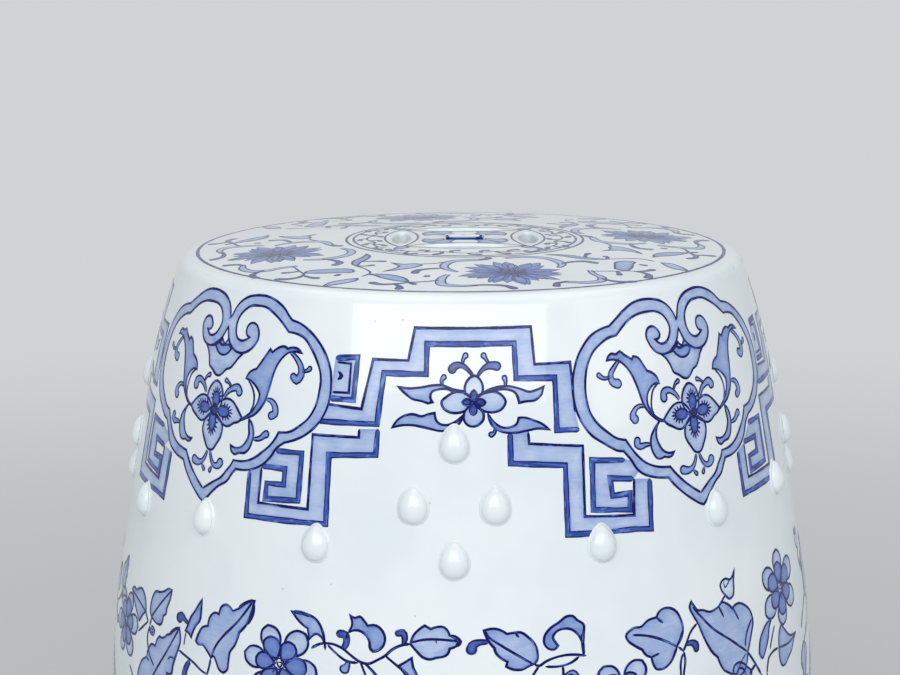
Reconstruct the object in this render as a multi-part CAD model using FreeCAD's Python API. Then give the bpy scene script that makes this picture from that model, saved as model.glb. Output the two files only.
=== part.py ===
import FreeCAD, Part
import math
import os

# Drum-shaped ceramic garden stool, in millimetres.
# +Z is up, the origin is on the floor under the middle, the front faces -Y.
# Angles round the drum start at the front and grow towards +X.
# The drum is two half shells luted at the waist, closed by a domed seat slab and stiffened by an open ring.

# Drum wall, the same above and below the waist
rim_height = 457.0
belly_radius = 176.0
belly_curve_radius = 480.0
wall_lean_deg = 10.4
shoulder_depth = 58.5
shoulder_curve_radius = 290.0
rim_round = 7.5
wall = 8.0

# Gallery inside each end of the drum, which carries the slab or the ring
ledge_width = 11.5
ledge_thickness = 8.0
ledge_web_height = 18.0

# Seat slab and its pierced coin
slab_thickness = 12.0
dome_rise = 5.5
coin_shift = 2.0
coin_square = 18.0
coin_slot_length = 44.0
coin_slot_width = 9.5
coin_front_slot_distance = 27.0
coin_side_slot_distance = 31.0
slab_edge_round = 1.2

# Foot and base ring
foot_width = 8.5
base_recess = 3.0
base_thickness = 10.0
base_ring_width = 27.0
base_edge_round = 2.0

# Pierced coin in each side, at the waist, which serves as a hand hold
side_square = 18.0
side_slot_length = 38.0
side_slot_width = 11.0
side_slot_distance = 25.0
side_edge_round = 1.5

# Corners inside every pierced hole
square_corner_round = 2.5
slot_tip_round = 2.0

# Clay coils smeared into the inside corners of the joints
seat_coil_radius = 6.0
base_coil_radius = 6.0
waist_coil_height = 15.0
waist_coil_depth = 5.0
waist_coil_side_gap_deg = 17.0

# Applied drops: round below, pointed above, sunk a little into the wall
drop_radius = 6.1
drop_point = 12.4
drop_sink = 1.5
ring_count = 16
ring_depth = 108.0
cluster_count = 4
cluster_mid_depth = 89.6
cluster_top_depth = 63.4
cluster_spread_deg = 6.4

# Drops were set by hand, so each slipped a little round the ring and towards or away from the waist.
# The lower ring takes its slips from a few places further round.
ring_slip_deg = (-1.4, -0.7, 0.0, -1.2, 0.6, -0.5, 0.8, -0.4, 0.3, 0.9, -0.8, 0.5, -0.6, 0.8, -0.9, -0.8)
ring_lift = (-4.4, -0.4, 5.0, 6.3, -1.5, 1.2, -2.0, 2.4, -3.0, 0.8, 3.2, -1.8, -2.6, -3.1, 1.4, -0.4)
lower_ring_skip_count = 5

waist_height = rim_height / 2
lean = math.radians(wall_lean_deg)


def vec(r, z):
    """A point of a profile: r from the axis, z above the floor."""
    return FreeCAD.Vector(r, 0, z)


def belly_centre():
    """Middle of the belly's curve, as radius and height above the waist."""
    return belly_radius - belly_curve_radius, 0.0


def lean_start():
    """Where the belly's curve runs into the straight, leaning stretch."""
    centre_r, centre_z = belly_centre()
    return centre_r + belly_curve_radius * math.cos(lean), centre_z + belly_curve_radius * math.sin(lean)


def lean_end():
    """Where the straight stretch meets the shoulder's curve."""
    start_r, start_z = lean_start()
    end_z = waist_height - shoulder_depth
    return start_r - (end_z - start_z) * math.tan(lean), end_z


def shoulder_centre():
    """Middle of the shoulder's curve, as radius and height above the waist."""
    end_r, end_z = lean_end()
    return end_r - shoulder_curve_radius * math.cos(lean), end_z - shoulder_curve_radius * math.sin(lean)


def rim_centre():
    """Middle of the rim's rounding, which touches the shoulder's curve from inside."""
    centre_r, centre_z = shoulder_centre()
    z = waist_height - rim_round
    reach = shoulder_curve_radius - rim_round
    return centre_r + math.sqrt(reach ** 2 - (z - centre_z) ** 2), z


def wall_radius(above_waist, inset=0.0):
    """Radius of the wall at a height above the waist, inset from its outer face."""
    z = abs(above_waist)
    start_r, start_z = lean_start()
    end_r, end_z = lean_end()
    step_r = inset * math.cos(lean)
    step_z = inset * math.sin(lean)
    if z < start_z - step_z:
        centre_r, centre_z = belly_centre()
        return centre_r + math.sqrt((belly_curve_radius - inset) ** 2 - z ** 2)
    if z < end_z - step_z:
        return start_r - step_r - (z - start_z + step_z) * math.tan(lean)
    centre_r, centre_z = shoulder_centre()
    return centre_r + math.sqrt((shoulder_curve_radius - inset) ** 2 - (z - centre_z) ** 2)


def wall_tilt(above_waist):
    """Angle by which the wall of the upper half faces upwards, in radians."""
    if above_waist < lean_start()[1]:
        return math.asin(above_waist / belly_curve_radius)
    if above_waist < lean_end()[1]:
        return lean
    return math.asin((above_waist - shoulder_centre()[1]) / shoulder_curve_radius)


def arc(start, middle, end):
    return Part.Arc(start, middle, end).toShape()


def line(start, end):
    return Part.LineSegment(start, end).toShape()


def arc_about(centre, radius, angle_a, angle_b, side):
    """Arc between two angles above the horizontal; side is 1 above the waist and -1 below it."""
    ends = []
    for angle in (angle_a, (angle_a + angle_b) / 2, angle_b):
        r = centre[0] + radius * math.cos(angle)
        z = centre[1] + radius * math.sin(angle)
        ends.append(vec(r, waist_height + side * z))
    return arc(*ends)


def half_side(inset, top_angle, side):
    """Edges of one half of the wall from the waist outwards to an angle on the shoulder's curve."""
    start_r, start_z = lean_start()
    end_r, end_z = lean_end()
    step_r = inset * math.cos(lean)
    step_z = inset * math.sin(lean)
    low = vec(start_r - step_r, waist_height + side * (start_z - step_z))
    high = vec(end_r - step_r, waist_height + side * (end_z - step_z))
    belly = arc_about(belly_centre(), belly_curve_radius - inset, 0.0, lean, side)
    shoulder = arc_about(shoulder_centre(), shoulder_curve_radius - inset, lean, top_angle, side)
    return [belly, line(low, high), shoulder]


def rim_touch_angle():
    """Angle on the shoulder's curve where the rim's rounding starts."""
    return math.asin((rim_centre()[1] - shoulder_centre()[1]) / (shoulder_curve_radius - rim_round))


def outer_edges(side):
    """Outer face of one half, from the waist to the flat of the rim or foot."""
    touch = rim_touch_angle()
    rounding = arc_about(rim_centre(), rim_round, touch, math.pi / 2, side)
    return half_side(0.0, touch, side) + [rounding]


def inner_edges(web_end_z, side):
    """Inner face of one half, from the waist to the foot of the gallery's web."""
    rise = side * (web_end_z - waist_height)
    top_angle = math.asin((rise - shoulder_centre()[1]) / (shoulder_curve_radius - wall))
    return half_side(wall, top_angle, side)


def chain(points):
    return [line(a, b) for a, b in zip(points, points[1:])]


def turned(edges, degrees=360.0):
    """Solid made by turning a closed profile about the stool's axis."""
    face = Part.Face(Part.Wire(Part.__sortEdges__(edges)))
    solid = face.revolve(FreeCAD.Vector(0, 0, 0), FreeCAD.Vector(0, 0, 1), degrees)
    if solid.ShapeType != "Solid":
        solid = Part.Solid(solid.Shells[0])
    if solid.Volume < 0:
        solid.reverse()
    return solid


# Heights and radii that several pieces share
seat_radius = rim_centre()[0]
seat_ledge_z = rim_height - slab_thickness
seat_ledge_radius = seat_radius - ledge_width
seat_web_end_z = seat_ledge_z - ledge_thickness - ledge_web_height
base_radius = seat_radius - foot_width
base_hole_radius = base_radius - base_ring_width
base_ledge_z = base_recess + base_thickness
base_ledge_radius = base_radius - ledge_width
base_web_end_z = base_ledge_z + ledge_thickness + ledge_web_height


def drum_wall():
    """Both half shells in one, before piercing and parting."""
    seat_side = [
        vec(seat_radius, rim_height),
        vec(seat_radius, seat_ledge_z),
        vec(seat_ledge_radius, seat_ledge_z),
        vec(seat_ledge_radius, seat_ledge_z - ledge_thickness),
        vec(wall_radius(seat_web_end_z - waist_height, wall), seat_web_end_z),
    ]
    foot_side = [
        vec(seat_radius, 0.0),
        vec(base_radius, 0.0),
        vec(base_radius, base_ledge_z),
        vec(base_ledge_radius, base_ledge_z),
        vec(base_ledge_radius, base_ledge_z + ledge_thickness),
        vec(wall_radius(base_web_end_z - waist_height, wall), base_web_end_z),
    ]
    edges = outer_edges(1) + outer_edges(-1) + chain(seat_side) + chain(foot_side)
    edges += inner_edges(seat_web_end_z, 1) + inner_edges(base_web_end_z, -1)
    return turned(edges)


def drum_envelope():
    """Everything inside the drum's outer face, its closing edge turned away from the drop being seated."""
    axis = chain([vec(seat_radius, rim_height), vec(0, rim_height), vec(0, 0), vec(seat_radius, 0)])
    solid = turned(outer_edges(1) + outer_edges(-1) + axis)
    solid.rotate(FreeCAD.Vector(0, 0, 0), FreeCAD.Vector(0, 0, 1), 180)
    return solid


def square_hole(side, depth):
    """Upright square prism about the origin, with rounded corners."""
    prism = Part.makeBox(side, side, depth, FreeCAD.Vector(-side / 2, -side / 2, 0))
    corners = [e for e in prism.Edges if abs(e.tangentAt(e.FirstParameter).z) > 0.9]
    return prism.makeFillet(min(square_corner_round, side / 3), corners)


def slot_hole(length, width, depth):
    """Upright prism with the outline of two crossing circles, long along X, with softened tips."""
    left = FreeCAD.Vector(-length / 2, 0, 0)
    right = FreeCAD.Vector(length / 2, 0, 0)
    far = arc(left, FreeCAD.Vector(0, width / 2, 0), right)
    near = arc(right, FreeCAD.Vector(0, -width / 2, 0), left)
    prism = Part.Face(Part.Wire([far, near])).extrude(FreeCAD.Vector(0, 0, depth))
    tips = [e for e in prism.Edges if abs(e.tangentAt(e.FirstParameter).z) > 0.9]
    return prism.makeFillet(min(slot_tip_round, width / 4), tips)


def coin_holes(square, slot_length, slot_width, distances, depth):
    """The five prisms of a pierced coin: a square with four slots round it, two at each of two distances."""
    holes = [square_hole(square, depth)]
    for quarter in range(4):
        slot = slot_hole(slot_length, slot_width, depth)
        slot.translate(FreeCAD.Vector(0, -distances[quarter % 2], 0))
        slot.rotate(FreeCAD.Vector(0, 0, 0), FreeCAD.Vector(0, 0, 1), 90 * quarter)
        holes.append(slot)
    return holes


def side_coin_tools():
    """Coin prisms turned to look out of both sides of the drum."""
    reach = belly_radius + wall
    distances = (side_slot_distance, side_slot_distance)
    tools = []
    for side in (1, -1):
        for hole in coin_holes(side_square, side_slot_length, side_slot_width, distances, reach):
            hole.rotate(FreeCAD.Vector(0, 0, 0), FreeCAD.Vector(0, 1, 0), 90 * side)
            hole.translate(FreeCAD.Vector(0, 0, waist_height))
            tools.append(hole)
    return tools


def near_outer_face(edge):
    """True for an edge that lies on the drum's outer face beside a side coin, away from the seams."""
    coin_reach_deg = 30
    points = edge.discretize(5)
    for p in points:
        rise = p.z - waist_height
        if abs(rise) > 2 * side_slot_distance:
            return False
        if abs(math.hypot(p.x, p.y) - wall_radius(rise)) > 0.01:
            return False
        if abs(math.degrees(math.atan2(p.y, abs(p.x)))) > coin_reach_deg:
            return False
    return True


def pierced_wall():
    pierced = drum_wall().cut(Part.makeCompound(side_coin_tools()))
    soft = [e for e in pierced.Edges if near_outer_face(e)]
    return pierced.makeFillet(side_edge_round, soft).Solids[0]


def half_shell(pierced, upper):
    """One half of the pierced drum, parted at the waist."""
    size = 4 * belly_radius
    low = waist_height if upper else waist_height - rim_height
    block = Part.makeBox(size, size, rim_height, FreeCAD.Vector(-size / 2, -size / 2, low))
    return pierced.common(block).Solids[0]


def dome_arc(radius, edge_z):
    """Edge of a shallow dome from its middle out to a radius."""
    curve = (radius ** 2 + dome_rise ** 2) / (2 * dome_rise)
    mid = radius / 2
    mid_z = edge_z + dome_rise - (curve - math.sqrt(curve ** 2 - mid ** 2))
    return arc(vec(0, edge_z + dome_rise), vec(mid, mid_z), vec(radius, edge_z))


def seat_slab():
    """Domed slab, pierced with a coin and bearing on the gallery by a flat ring."""
    bearing_radius = seat_ledge_radius - seat_coil_radius
    edges = [dome_arc(seat_radius, rim_height), dome_arc(bearing_radius, seat_ledge_z)]
    rim_foot = vec(seat_radius, seat_ledge_z)
    edges += chain([vec(seat_radius, rim_height), rim_foot, vec(bearing_radius, seat_ledge_z)])
    edges.append(line(vec(0, seat_ledge_z + dome_rise), vec(0, rim_height + dome_rise)))
    slab = turned(edges)
    depth = slab_thickness + 2 * dome_rise
    distances = (coin_front_slot_distance, coin_side_slot_distance)
    for hole in coin_holes(coin_square, coin_slot_length, coin_slot_width, distances, depth):
        hole.translate(FreeCAD.Vector(coin_shift, 0, seat_ledge_z - dome_rise / 2))
        slab = slab.cut(hole)
    reach = coin_side_slot_distance + coin_slot_width + coin_shift
    soft = []
    for e in slab.Edges:
        points = e.discretize(5)
        high = all(p.z > rim_height for p in points)
        inside = all(math.hypot(p.x, p.y) < reach for p in points)
        if high and inside and e.Length > 0.1 and not e.Closed:
            soft.append(e)
    return slab.makeFillet(slab_edge_round, soft).Solids[0]


def base_ring():
    """Open ring luted into the foot, a little above the floor."""
    top = base_ledge_z
    corners = [vec(base_hole_radius, base_recess), vec(base_radius, base_recess), vec(base_radius, top)]
    corners += [vec(base_hole_radius, top), vec(base_hole_radius, base_recess)]
    ring = turned(chain(corners))
    inner = []
    for e in ring.Edges:
        if all(math.hypot(p.x, p.y) < base_hole_radius + 0.01 for p in e.discretize(5)):
            if abs(e.BoundBox.ZLength) < 0.01:
                inner.append(e)
    return ring.makeFillet(base_edge_round, inner).Solids[0]


def corner_coil(corner_r, corner_z, radius, side):
    """Quarter-round coil in a gallery's corner, below the slab (side -1) or above the base ring (side 1)."""
    bulge = radius * math.sqrt(0.5)
    tip = vec(corner_r, corner_z + side * radius)
    mid = vec(corner_r - bulge, corner_z + side * bulge)
    toe = vec(corner_r - radius, corner_z)
    heel = vec(corner_r, corner_z)
    return turned([arc(tip, mid, toe), line(toe, heel), line(heel, tip)])


def waist_coil(front):
    """Bead of clay over the waist seam inside the drum, stopping short of the side coins."""
    angle = math.asin(waist_coil_height / 2 / (belly_curve_radius - wall))
    back = arc_about(belly_centre(), belly_curve_radius - wall, -angle, angle, 1)
    ends = [v.Point for v in back.Vertexes]
    crest = vec(belly_radius - wall - waist_coil_depth, waist_height)
    sweep = 180 - 2 * waist_coil_side_gap_deg
    coil = turned([back, arc(ends[0], crest, ends[1])], sweep)
    start = -90 - sweep / 2 if front else 90 - sweep / 2
    coil.rotate(FreeCAD.Vector(0, 0, 0), FreeCAD.Vector(0, 0, 1), start)
    return coil


def drop_blank():
    """Drop about the origin, its axis along Z, its point up and its closing edge on the drum's side."""
    touch = math.asin(drop_radius / drop_point)
    low = vec(0, -drop_radius)
    mid_angle = (touch - math.pi / 2) / 2
    mid = vec(drop_radius * math.cos(mid_angle), drop_radius * math.sin(mid_angle))
    shoulder = vec(drop_radius * math.cos(touch), drop_radius * math.sin(touch))
    point = vec(0, drop_point)
    blank = turned([arc(low, mid, shoulder), line(shoulder, point), line(point, low)])
    blank.rotate(FreeCAD.Vector(0, 0, 0), FreeCAD.Vector(0, 0, 1), 180)
    return blank


def drop(turn_deg, depth, upper, envelope):
    """One drop on the drum's face, at an angle round the drum and a depth in from the rim or the foot."""
    rise = waist_height - depth
    solid = drop_blank()
    solid.translate(FreeCAD.Vector(-drop_sink, 0, 0))
    solid.rotate(FreeCAD.Vector(0, 0, 0), FreeCAD.Vector(0, 1, 0), -math.degrees(wall_tilt(rise)))
    solid.translate(FreeCAD.Vector(wall_radius(rise), 0, waist_height + rise))
    seated = solid.cut(envelope).Solids[0]
    if not upper:
        seated = seated.mirror(FreeCAD.Vector(0, 0, waist_height), FreeCAD.Vector(0, 0, 1))
    seated.rotate(FreeCAD.Vector(0, 0, 0), FreeCAD.Vector(0, 0, 1), turn_deg - 90)
    return seated


def ring_place(index, upper):
    """Angle round the drum and depth in from the rim or the foot of one drop of a ring."""
    pick = index if upper else index + lower_ring_skip_count
    turn = 360 * index / ring_count + ring_slip_deg[pick % len(ring_slip_deg)]
    return turn, ring_depth - ring_lift[pick % len(ring_lift)]


def cluster(index, upper, envelope):
    """The two middle drops and the far drop that make a diamond with one drop of the ring."""
    turn = ring_place(index * ring_count // cluster_count, upper)[0]
    places = [(turn - cluster_spread_deg, cluster_mid_depth), (turn + cluster_spread_deg, cluster_mid_depth)]
    places.append((turn, cluster_top_depth))
    return Part.makeCompound([drop(angle, depth, upper, envelope) for angle, depth in places])


def write(name, shape):
    shape.exportStep(os.path.join("parts", name + ".step"))


def main():
    os.makedirs("parts", exist_ok=True)
    pierced = pierced_wall()
    write("upper_shell", half_shell(pierced, True))
    write("lower_shell", half_shell(pierced, False))
    write("seat_slab", seat_slab())
    write("base_ring", base_ring())
    write("seat_luting_coil", corner_coil(seat_ledge_radius, seat_ledge_z, seat_coil_radius, -1))
    write("base_luting_coil", corner_coil(base_ledge_radius, base_ledge_z, base_coil_radius, 1))
    write("front_waist_coil", waist_coil(True))
    write("rear_waist_coil", waist_coil(False))
    envelope = drum_envelope()
    for upper, half in ((True, "upper"), (False, "lower")):
        for index in range(ring_count):
            turn, depth = ring_place(index, upper)
            write(f"{half}_drop_{index + 1:02d}", drop(turn, depth, upper, envelope))
        for index, side in enumerate(("front", "right", "rear", "left")):
            write(f"{half}_cluster_{side}", cluster(index, upper, envelope))


main()
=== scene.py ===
import math

import bpy
import numpy as np
from bpy.props import FloatProperty, PointerProperty, StringProperty
from bpy.types import Operator, Panel, PropertyGroup
from mathutils import Euler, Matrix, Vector
from mathutils.geometry import delaunay_2d_cdt


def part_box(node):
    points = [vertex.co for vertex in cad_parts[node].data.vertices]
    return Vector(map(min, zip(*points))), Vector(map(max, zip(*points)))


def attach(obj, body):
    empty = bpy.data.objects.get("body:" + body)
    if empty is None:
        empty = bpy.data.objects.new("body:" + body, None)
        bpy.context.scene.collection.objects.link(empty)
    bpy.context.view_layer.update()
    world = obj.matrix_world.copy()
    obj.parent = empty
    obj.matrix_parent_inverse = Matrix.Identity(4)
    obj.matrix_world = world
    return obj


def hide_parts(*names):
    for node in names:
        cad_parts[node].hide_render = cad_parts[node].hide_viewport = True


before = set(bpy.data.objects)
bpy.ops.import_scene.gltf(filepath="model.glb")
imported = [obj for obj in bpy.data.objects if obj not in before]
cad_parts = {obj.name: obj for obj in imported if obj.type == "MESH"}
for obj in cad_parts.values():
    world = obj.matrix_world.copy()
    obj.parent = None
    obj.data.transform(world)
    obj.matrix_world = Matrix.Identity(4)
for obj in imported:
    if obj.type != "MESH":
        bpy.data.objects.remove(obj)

bl_info = {
    "name": "Porcelain garden stool",
    "version": (1, 0, 0),
    "blender": (4, 5, 0),
    "location": "View3D > Sidebar > Garden stool",
    "description": "Glazes, applies and paints a drum-shaped porcelain garden stool round its fired body",
    "category": "Object",
}

MM = 0.001
TURN = 2 * math.pi

# A length too small to matter, which keeps divisions safe, the distance in mm below which points of a wash
# are one, and the decimals of a metre to which vertices in one place agree
TINY = 1e-6
WELD = 1e-4
SAME_PLACE = 7

# Sizes in mm of the patterns in the glaze, the clay and the wash
GLAZE_WAVE = 34.0
GLAZE_PEEL = 2.6
BODY_CLOUD = 55.0
SPECK_SPACING = 16.0
CLAY_CLOUD = 18.0
WASH_CLOUD = 9.0

# Glaze: depths in mm of its waves and of its orange peel with the strength of each, and its gloss
WAVE_DEPTH, WAVE_STRENGTH = 4.0, 0.12
PEEL_DEPTH, PEEL_STRENGTH = 0.3, 0.04
GLAZE_ROUGHNESS = 0.07
GLAZE_IOR = 1.52

# Porcelain: noise values between which its shade clouds over, rim and middle of an iron speck in cell
# distances, and how dark a speck gets
CLOUD_FROM, CLOUD_TO = 0.35, 0.7
SPECK_RIM, SPECK_MIDDLE = 0.030, 0.018
SPECK_STRENGTH = 0.5

# Bare clay: size and depth in mm of its grit and of the finger marks in the smeared coils, and their strength
BISCUIT_GRIT = (0.8, 0.3)
LUTING_GRIT = (2.2, 0.5)
GRIT_STRENGTH = 0.5
CLAY_ROUGHNESS = 0.85

# Tones at which cobalt has its named colours, from water to thick cobalt
COLOUR_STOPS = (0.0, 0.13, 0.30, 0.56, 0.84, 1.0)

# How fast a brush's streaks change along a stroke and across it, per mm, and from stroke to stroke
WASH_STREAKS = (0.16, 0.85, 7.3)
LINE_STREAKS = (0.16, 0.8, 7.3)
HAIR_STREAKS = (0.10, 2.4, 5.1)

# Wash: tone that it gains at its edge and loses inwards, and how far clouds and streaks shift it
EDGE_GAIN, INWARD_LOSS = 0.09, 0.16
CLOUD_SHIFT, STREAK_SHIFT = 0.30, 0.18

# Outline: noise values between which the brush runs dry and the tone lost there, the pale middle of a broad
# line as places across it and as slope and start of the tone lost there, and its dull gloss
DRY_FROM, DRY_TO, DRY_LOSS = 0.55, 0.70, 0.36
CORE_EDGE, CORE_MIDDLE = 0.80, 0.35
CORE_SLOPE, CORE_START = 0.5, -0.1
LINE_SPECULAR = 0.22

# Heights and radii of the fired body, read from the frame in metres
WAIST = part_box("upper_shell")[0].z
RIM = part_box("upper_shell")[1].z
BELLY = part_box("upper_shell")[1].y
SEAT_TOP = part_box("seat_slab")[1].z
SEAT_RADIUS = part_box("seat_slab")[1].y


class DrumSizes(PropertyGroup):
    """Curves of the drum's wall, the same above and below the waist."""
    belly_curve: FloatProperty(
        name="Belly curve", description="Radius of the curve of the belly, seen from the side",
        default=0.480, unit="LENGTH")
    lean: FloatProperty(
        name="Lean", description="Lean of the straight stretch between belly and shoulder",
        default=math.radians(10.4), subtype="ANGLE")
    shoulder_depth: FloatProperty(
        name="Shoulder depth", description="Depth of the shoulder's curve below the rim",
        default=0.0585, unit="LENGTH")
    shoulder_curve: FloatProperty(
        name="Shoulder curve", description="Radius of the curve of the shoulder, seen from the side",
        default=0.290, unit="LENGTH")
    rim_round: FloatProperty(
        name="Rim rounding", description="Radius of the rounded rim",
        default=0.0075, unit="LENGTH")


class DropSizes(PropertyGroup):
    """The applied drops of clay."""
    width: FloatProperty(
        name="Width", description="Width of a drop where it meets the wall",
        default=0.0122, unit="LENGTH")
    round_end: FloatProperty(
        name="Round end", description="Reach of a drop's round end from its widest place",
        default=0.0060, unit="LENGTH")
    pointed_end: FloatProperty(
        name="Pointed end", description="Reach of a drop's soft point from its widest place",
        default=0.0098, unit="LENGTH")
    height: FloatProperty(
        name="Height", description="How far a drop stands out of the wall",
        default=0.0045, unit="LENGTH")
    skirt: FloatProperty(
        name="Glaze skirt", description="Width of the glaze that runs together round a drop's foot",
        default=0.0013, unit="LENGTH")


class Colours(PropertyGroup):
    """Colours as sRGB hex values."""
    glaze: StringProperty(
        name="Glaze", description="White porcelain under clear glaze", default="ECF2F4")
    glaze_shade: StringProperty(
        name="Glaze shade", description="Where the glaze lies thicker", default="E2EBEE")
    wash_pale: StringProperty(
        name="Pale wash", description="Cobalt thinned with much water", default="C5D2EA")
    wash_light: StringProperty(
        name="Light wash", description="Cobalt wash of bands and petals", default="A1B5DC")
    wash_mid: StringProperty(
        name="Mid wash", description="Cobalt wash of leaves", default="6C8ACA")
    wash_dark: StringProperty(
        name="Dark wash", description="Cobalt wash of inner petals", default="3A58AE")
    ink: StringProperty(
        name="Ink", description="Outlines in thick cobalt", default="020A58")
    speck: StringProperty(
        name="Speck", description="Iron specks in the body", default="8C7F70")
    biscuit: StringProperty(
        name="Biscuit", description="Bare fired clay", default="CDBDA6")
    biscuit_dark: StringProperty(
        name="Dark biscuit", description="Bare clay where the flame reached", default="B9A68B")
    luting: StringProperty(
        name="Luting clay", description="Coils of clay smeared over the seams", default="D3C8B6")
    sky: StringProperty(
        name="Room", description="Pale light of the room", default="F4F7FA")
    floor: StringProperty(
        name="Floor", description="Studio floor", default="D6DADC")
    backdrop: StringProperty(
        name="Backdrop", description="Far floor and backdrop", default="D0D3D5")


class StoolSettings(PropertyGroup):
    """Everything that a user would change."""
    drum: PointerProperty(type=DrumSizes)
    drops: PointerProperty(type=DropSizes)
    colours: PointerProperty(type=Colours)


def settings():
    return bpy.context.scene.garden_stool


class Wall:
    """Outer face of the drum as a function of height, in metres."""

    def __init__(self):
        drum = settings().drum
        self.lean = drum.lean
        self.belly_r = drum.belly_curve
        self.belly_c = BELLY - drum.belly_curve
        self.start_r = self.belly_c + self.belly_r * math.cos(self.lean)
        self.start_z = self.belly_r * math.sin(self.lean)
        self.half = RIM - WAIST
        self.end_z = self.half - drum.shoulder_depth
        self.end_r = self.start_r - (self.end_z - self.start_z) * math.tan(self.lean)
        self.shoulder_r = drum.shoulder_curve
        self.shoulder_cr = self.end_r - self.shoulder_r * math.cos(self.lean)
        self.shoulder_cz = self.end_z - self.shoulder_r * math.sin(self.lean)
        self.rim_round = drum.rim_round
        self.rim_cz = self.half - self.rim_round
        reach = self.shoulder_r - self.rim_round
        self.rim_cr = self.shoulder_cr + math.sqrt(reach ** 2 - (self.rim_cz - self.shoulder_cz) ** 2)
        touch = math.asin((self.rim_cz - self.shoulder_cz) / reach)
        self.touch_z = self.rim_cz + self.rim_round * math.sin(touch)

    def profile(self, height):
        """Radius of the wall and the tilt of its normal above the horizontal, for an array of heights."""
        rise = np.asarray(height, float) - WAIST
        a = np.minimum(np.abs(rise), self.half - TINY)
        belly_tilt = np.arcsin(np.clip(a / self.belly_r, -1, 1))
        r = self.belly_c + self.belly_r * np.cos(belly_tilt)
        tilt = belly_tilt
        straight = a > self.start_z
        r = np.where(straight, self.start_r - (a - self.start_z) * math.tan(self.lean), r)
        tilt = np.where(straight, self.lean, tilt)
        bend = np.arcsin(np.clip((a - self.shoulder_cz) / self.shoulder_r, -1, 1))
        shoulder = a > self.end_z
        r = np.where(shoulder, self.shoulder_cr + self.shoulder_r * np.cos(bend), r)
        tilt = np.where(shoulder, bend, tilt)
        turn = np.arcsin(np.clip((a - self.rim_cz) / self.rim_round, -1, 1))
        rim = a > self.touch_z
        r = np.where(rim, self.rim_cr + self.rim_round * np.cos(turn), r)
        tilt = np.where(rim, turn, tilt)
        return r, tilt * np.sign(rise)

    def place(self, angle, height, lift):
        """Points and normals on the wall, from angles round from the front towards +X, heights and lifts."""
        r, tilt = self.profile(height)
        out = np.stack([np.sin(angle) * np.cos(tilt), -np.cos(angle) * np.cos(tilt), np.sin(tilt)], -1)
        base = np.stack([r * np.sin(angle), -r * np.cos(angle), height + 0 * r], -1)
        return base + out * np.asarray(lift)[..., None], out


def linear(hex_colour):
    """Linear RGBA from an sRGB hex value."""
    parts = [int(hex_colour[i:i + 2], 16) / 255 for i in (0, 2, 4)]
    return [p / 12.92 if p <= 0.04045 else ((p + 0.055) / 1.055) ** 2.4 for p in parts] + [1.0]


def add_node(tree, kind, values=None, links=None, **attributes):
    """Adds a node with its attributes, its sockets' values and its incoming links."""
    node = tree.nodes.new(kind)
    for key, value in attributes.items():
        setattr(node, key, value)
    for key, value in (values or {}).items():
        node.inputs[key].default_value = value
    for key, source in (links or {}).items():
        tree.links.new(source, node.inputs[key])
    return node


def new_material(name):
    """An empty node material with its output and a Principled shader."""
    material = bpy.data.materials.new(name)
    material.use_nodes = True
    tree = material.node_tree
    tree.nodes.clear()
    shader = add_node(tree, "ShaderNodeBsdfPrincipled")
    output = add_node(tree, "ShaderNodeOutputMaterial")
    tree.links.new(shader.outputs["BSDF"], output.inputs["Surface"])
    return material, tree, shader


def glaze_surface(tree, shader, place):
    """Clear glaze: glossy, a little wavy from the brush and the kiln, with the finest orange peel."""
    normal = {}
    layers = ((GLAZE_WAVE, WAVE_DEPTH, WAVE_STRENGTH), (GLAZE_PEEL, PEEL_DEPTH, PEEL_STRENGTH))
    for size, depth, strength in layers:
        relief = add_node(tree, "ShaderNodeTexNoise", {"Scale": 1 / (size * MM), "Detail": 1.0},
                          {"Vector": place})
        bump = add_node(tree, "ShaderNodeBump", {"Strength": strength, "Distance": depth * MM},
                        {"Height": relief.outputs["Fac"], **normal})
        normal = {"Normal": bump.outputs["Normal"]}
    tree.links.new(bump.outputs["Normal"], shader.inputs["Normal"])
    shader.inputs["Roughness"].default_value = GLAZE_ROUGHNESS
    shader.inputs["IOR"].default_value = GLAZE_IOR


def glazed_porcelain():
    """White porcelain under a clear glaze: cool white, glossy, with faint clouds and a few iron specks."""
    colours = settings().colours
    material, tree, shader = new_material("glazed_porcelain_white")
    place = add_node(tree, "ShaderNodeTexCoord").outputs["Object"]
    cloud = add_node(tree, "ShaderNodeTexNoise", {"Scale": 1 / (BODY_CLOUD * MM), "Detail": 3.0},
                     {"Vector": place})
    fade = add_node(tree, "ShaderNodeMapRange", {"From Min": CLOUD_FROM, "From Max": CLOUD_TO},
                    {"Value": cloud.outputs["Fac"]})
    body = add_node(tree, "ShaderNodeMix", {"A": linear(colours.glaze), "B": linear(colours.glaze_shade)},
                    {"Factor": fade.outputs["Result"]}, data_type="RGBA")
    cells = add_node(tree, "ShaderNodeTexVoronoi", {"Scale": 1 / (SPECK_SPACING * MM)}, {"Vector": place})
    speck = add_node(tree, "ShaderNodeMapRange",
                     {"From Min": SPECK_RIM, "From Max": SPECK_MIDDLE, "To Max": SPECK_STRENGTH},
                     {"Value": cells.outputs["Distance"]})
    specked = add_node(tree, "ShaderNodeMix", {"B": linear(colours.speck)},
                       {"Factor": speck.outputs["Result"], "A": body.outputs["Result"]}, data_type="RGBA")
    tree.links.new(specked.outputs["Result"], shader.inputs["Base Color"])
    glaze_surface(tree, shader, place)
    return material


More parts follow.
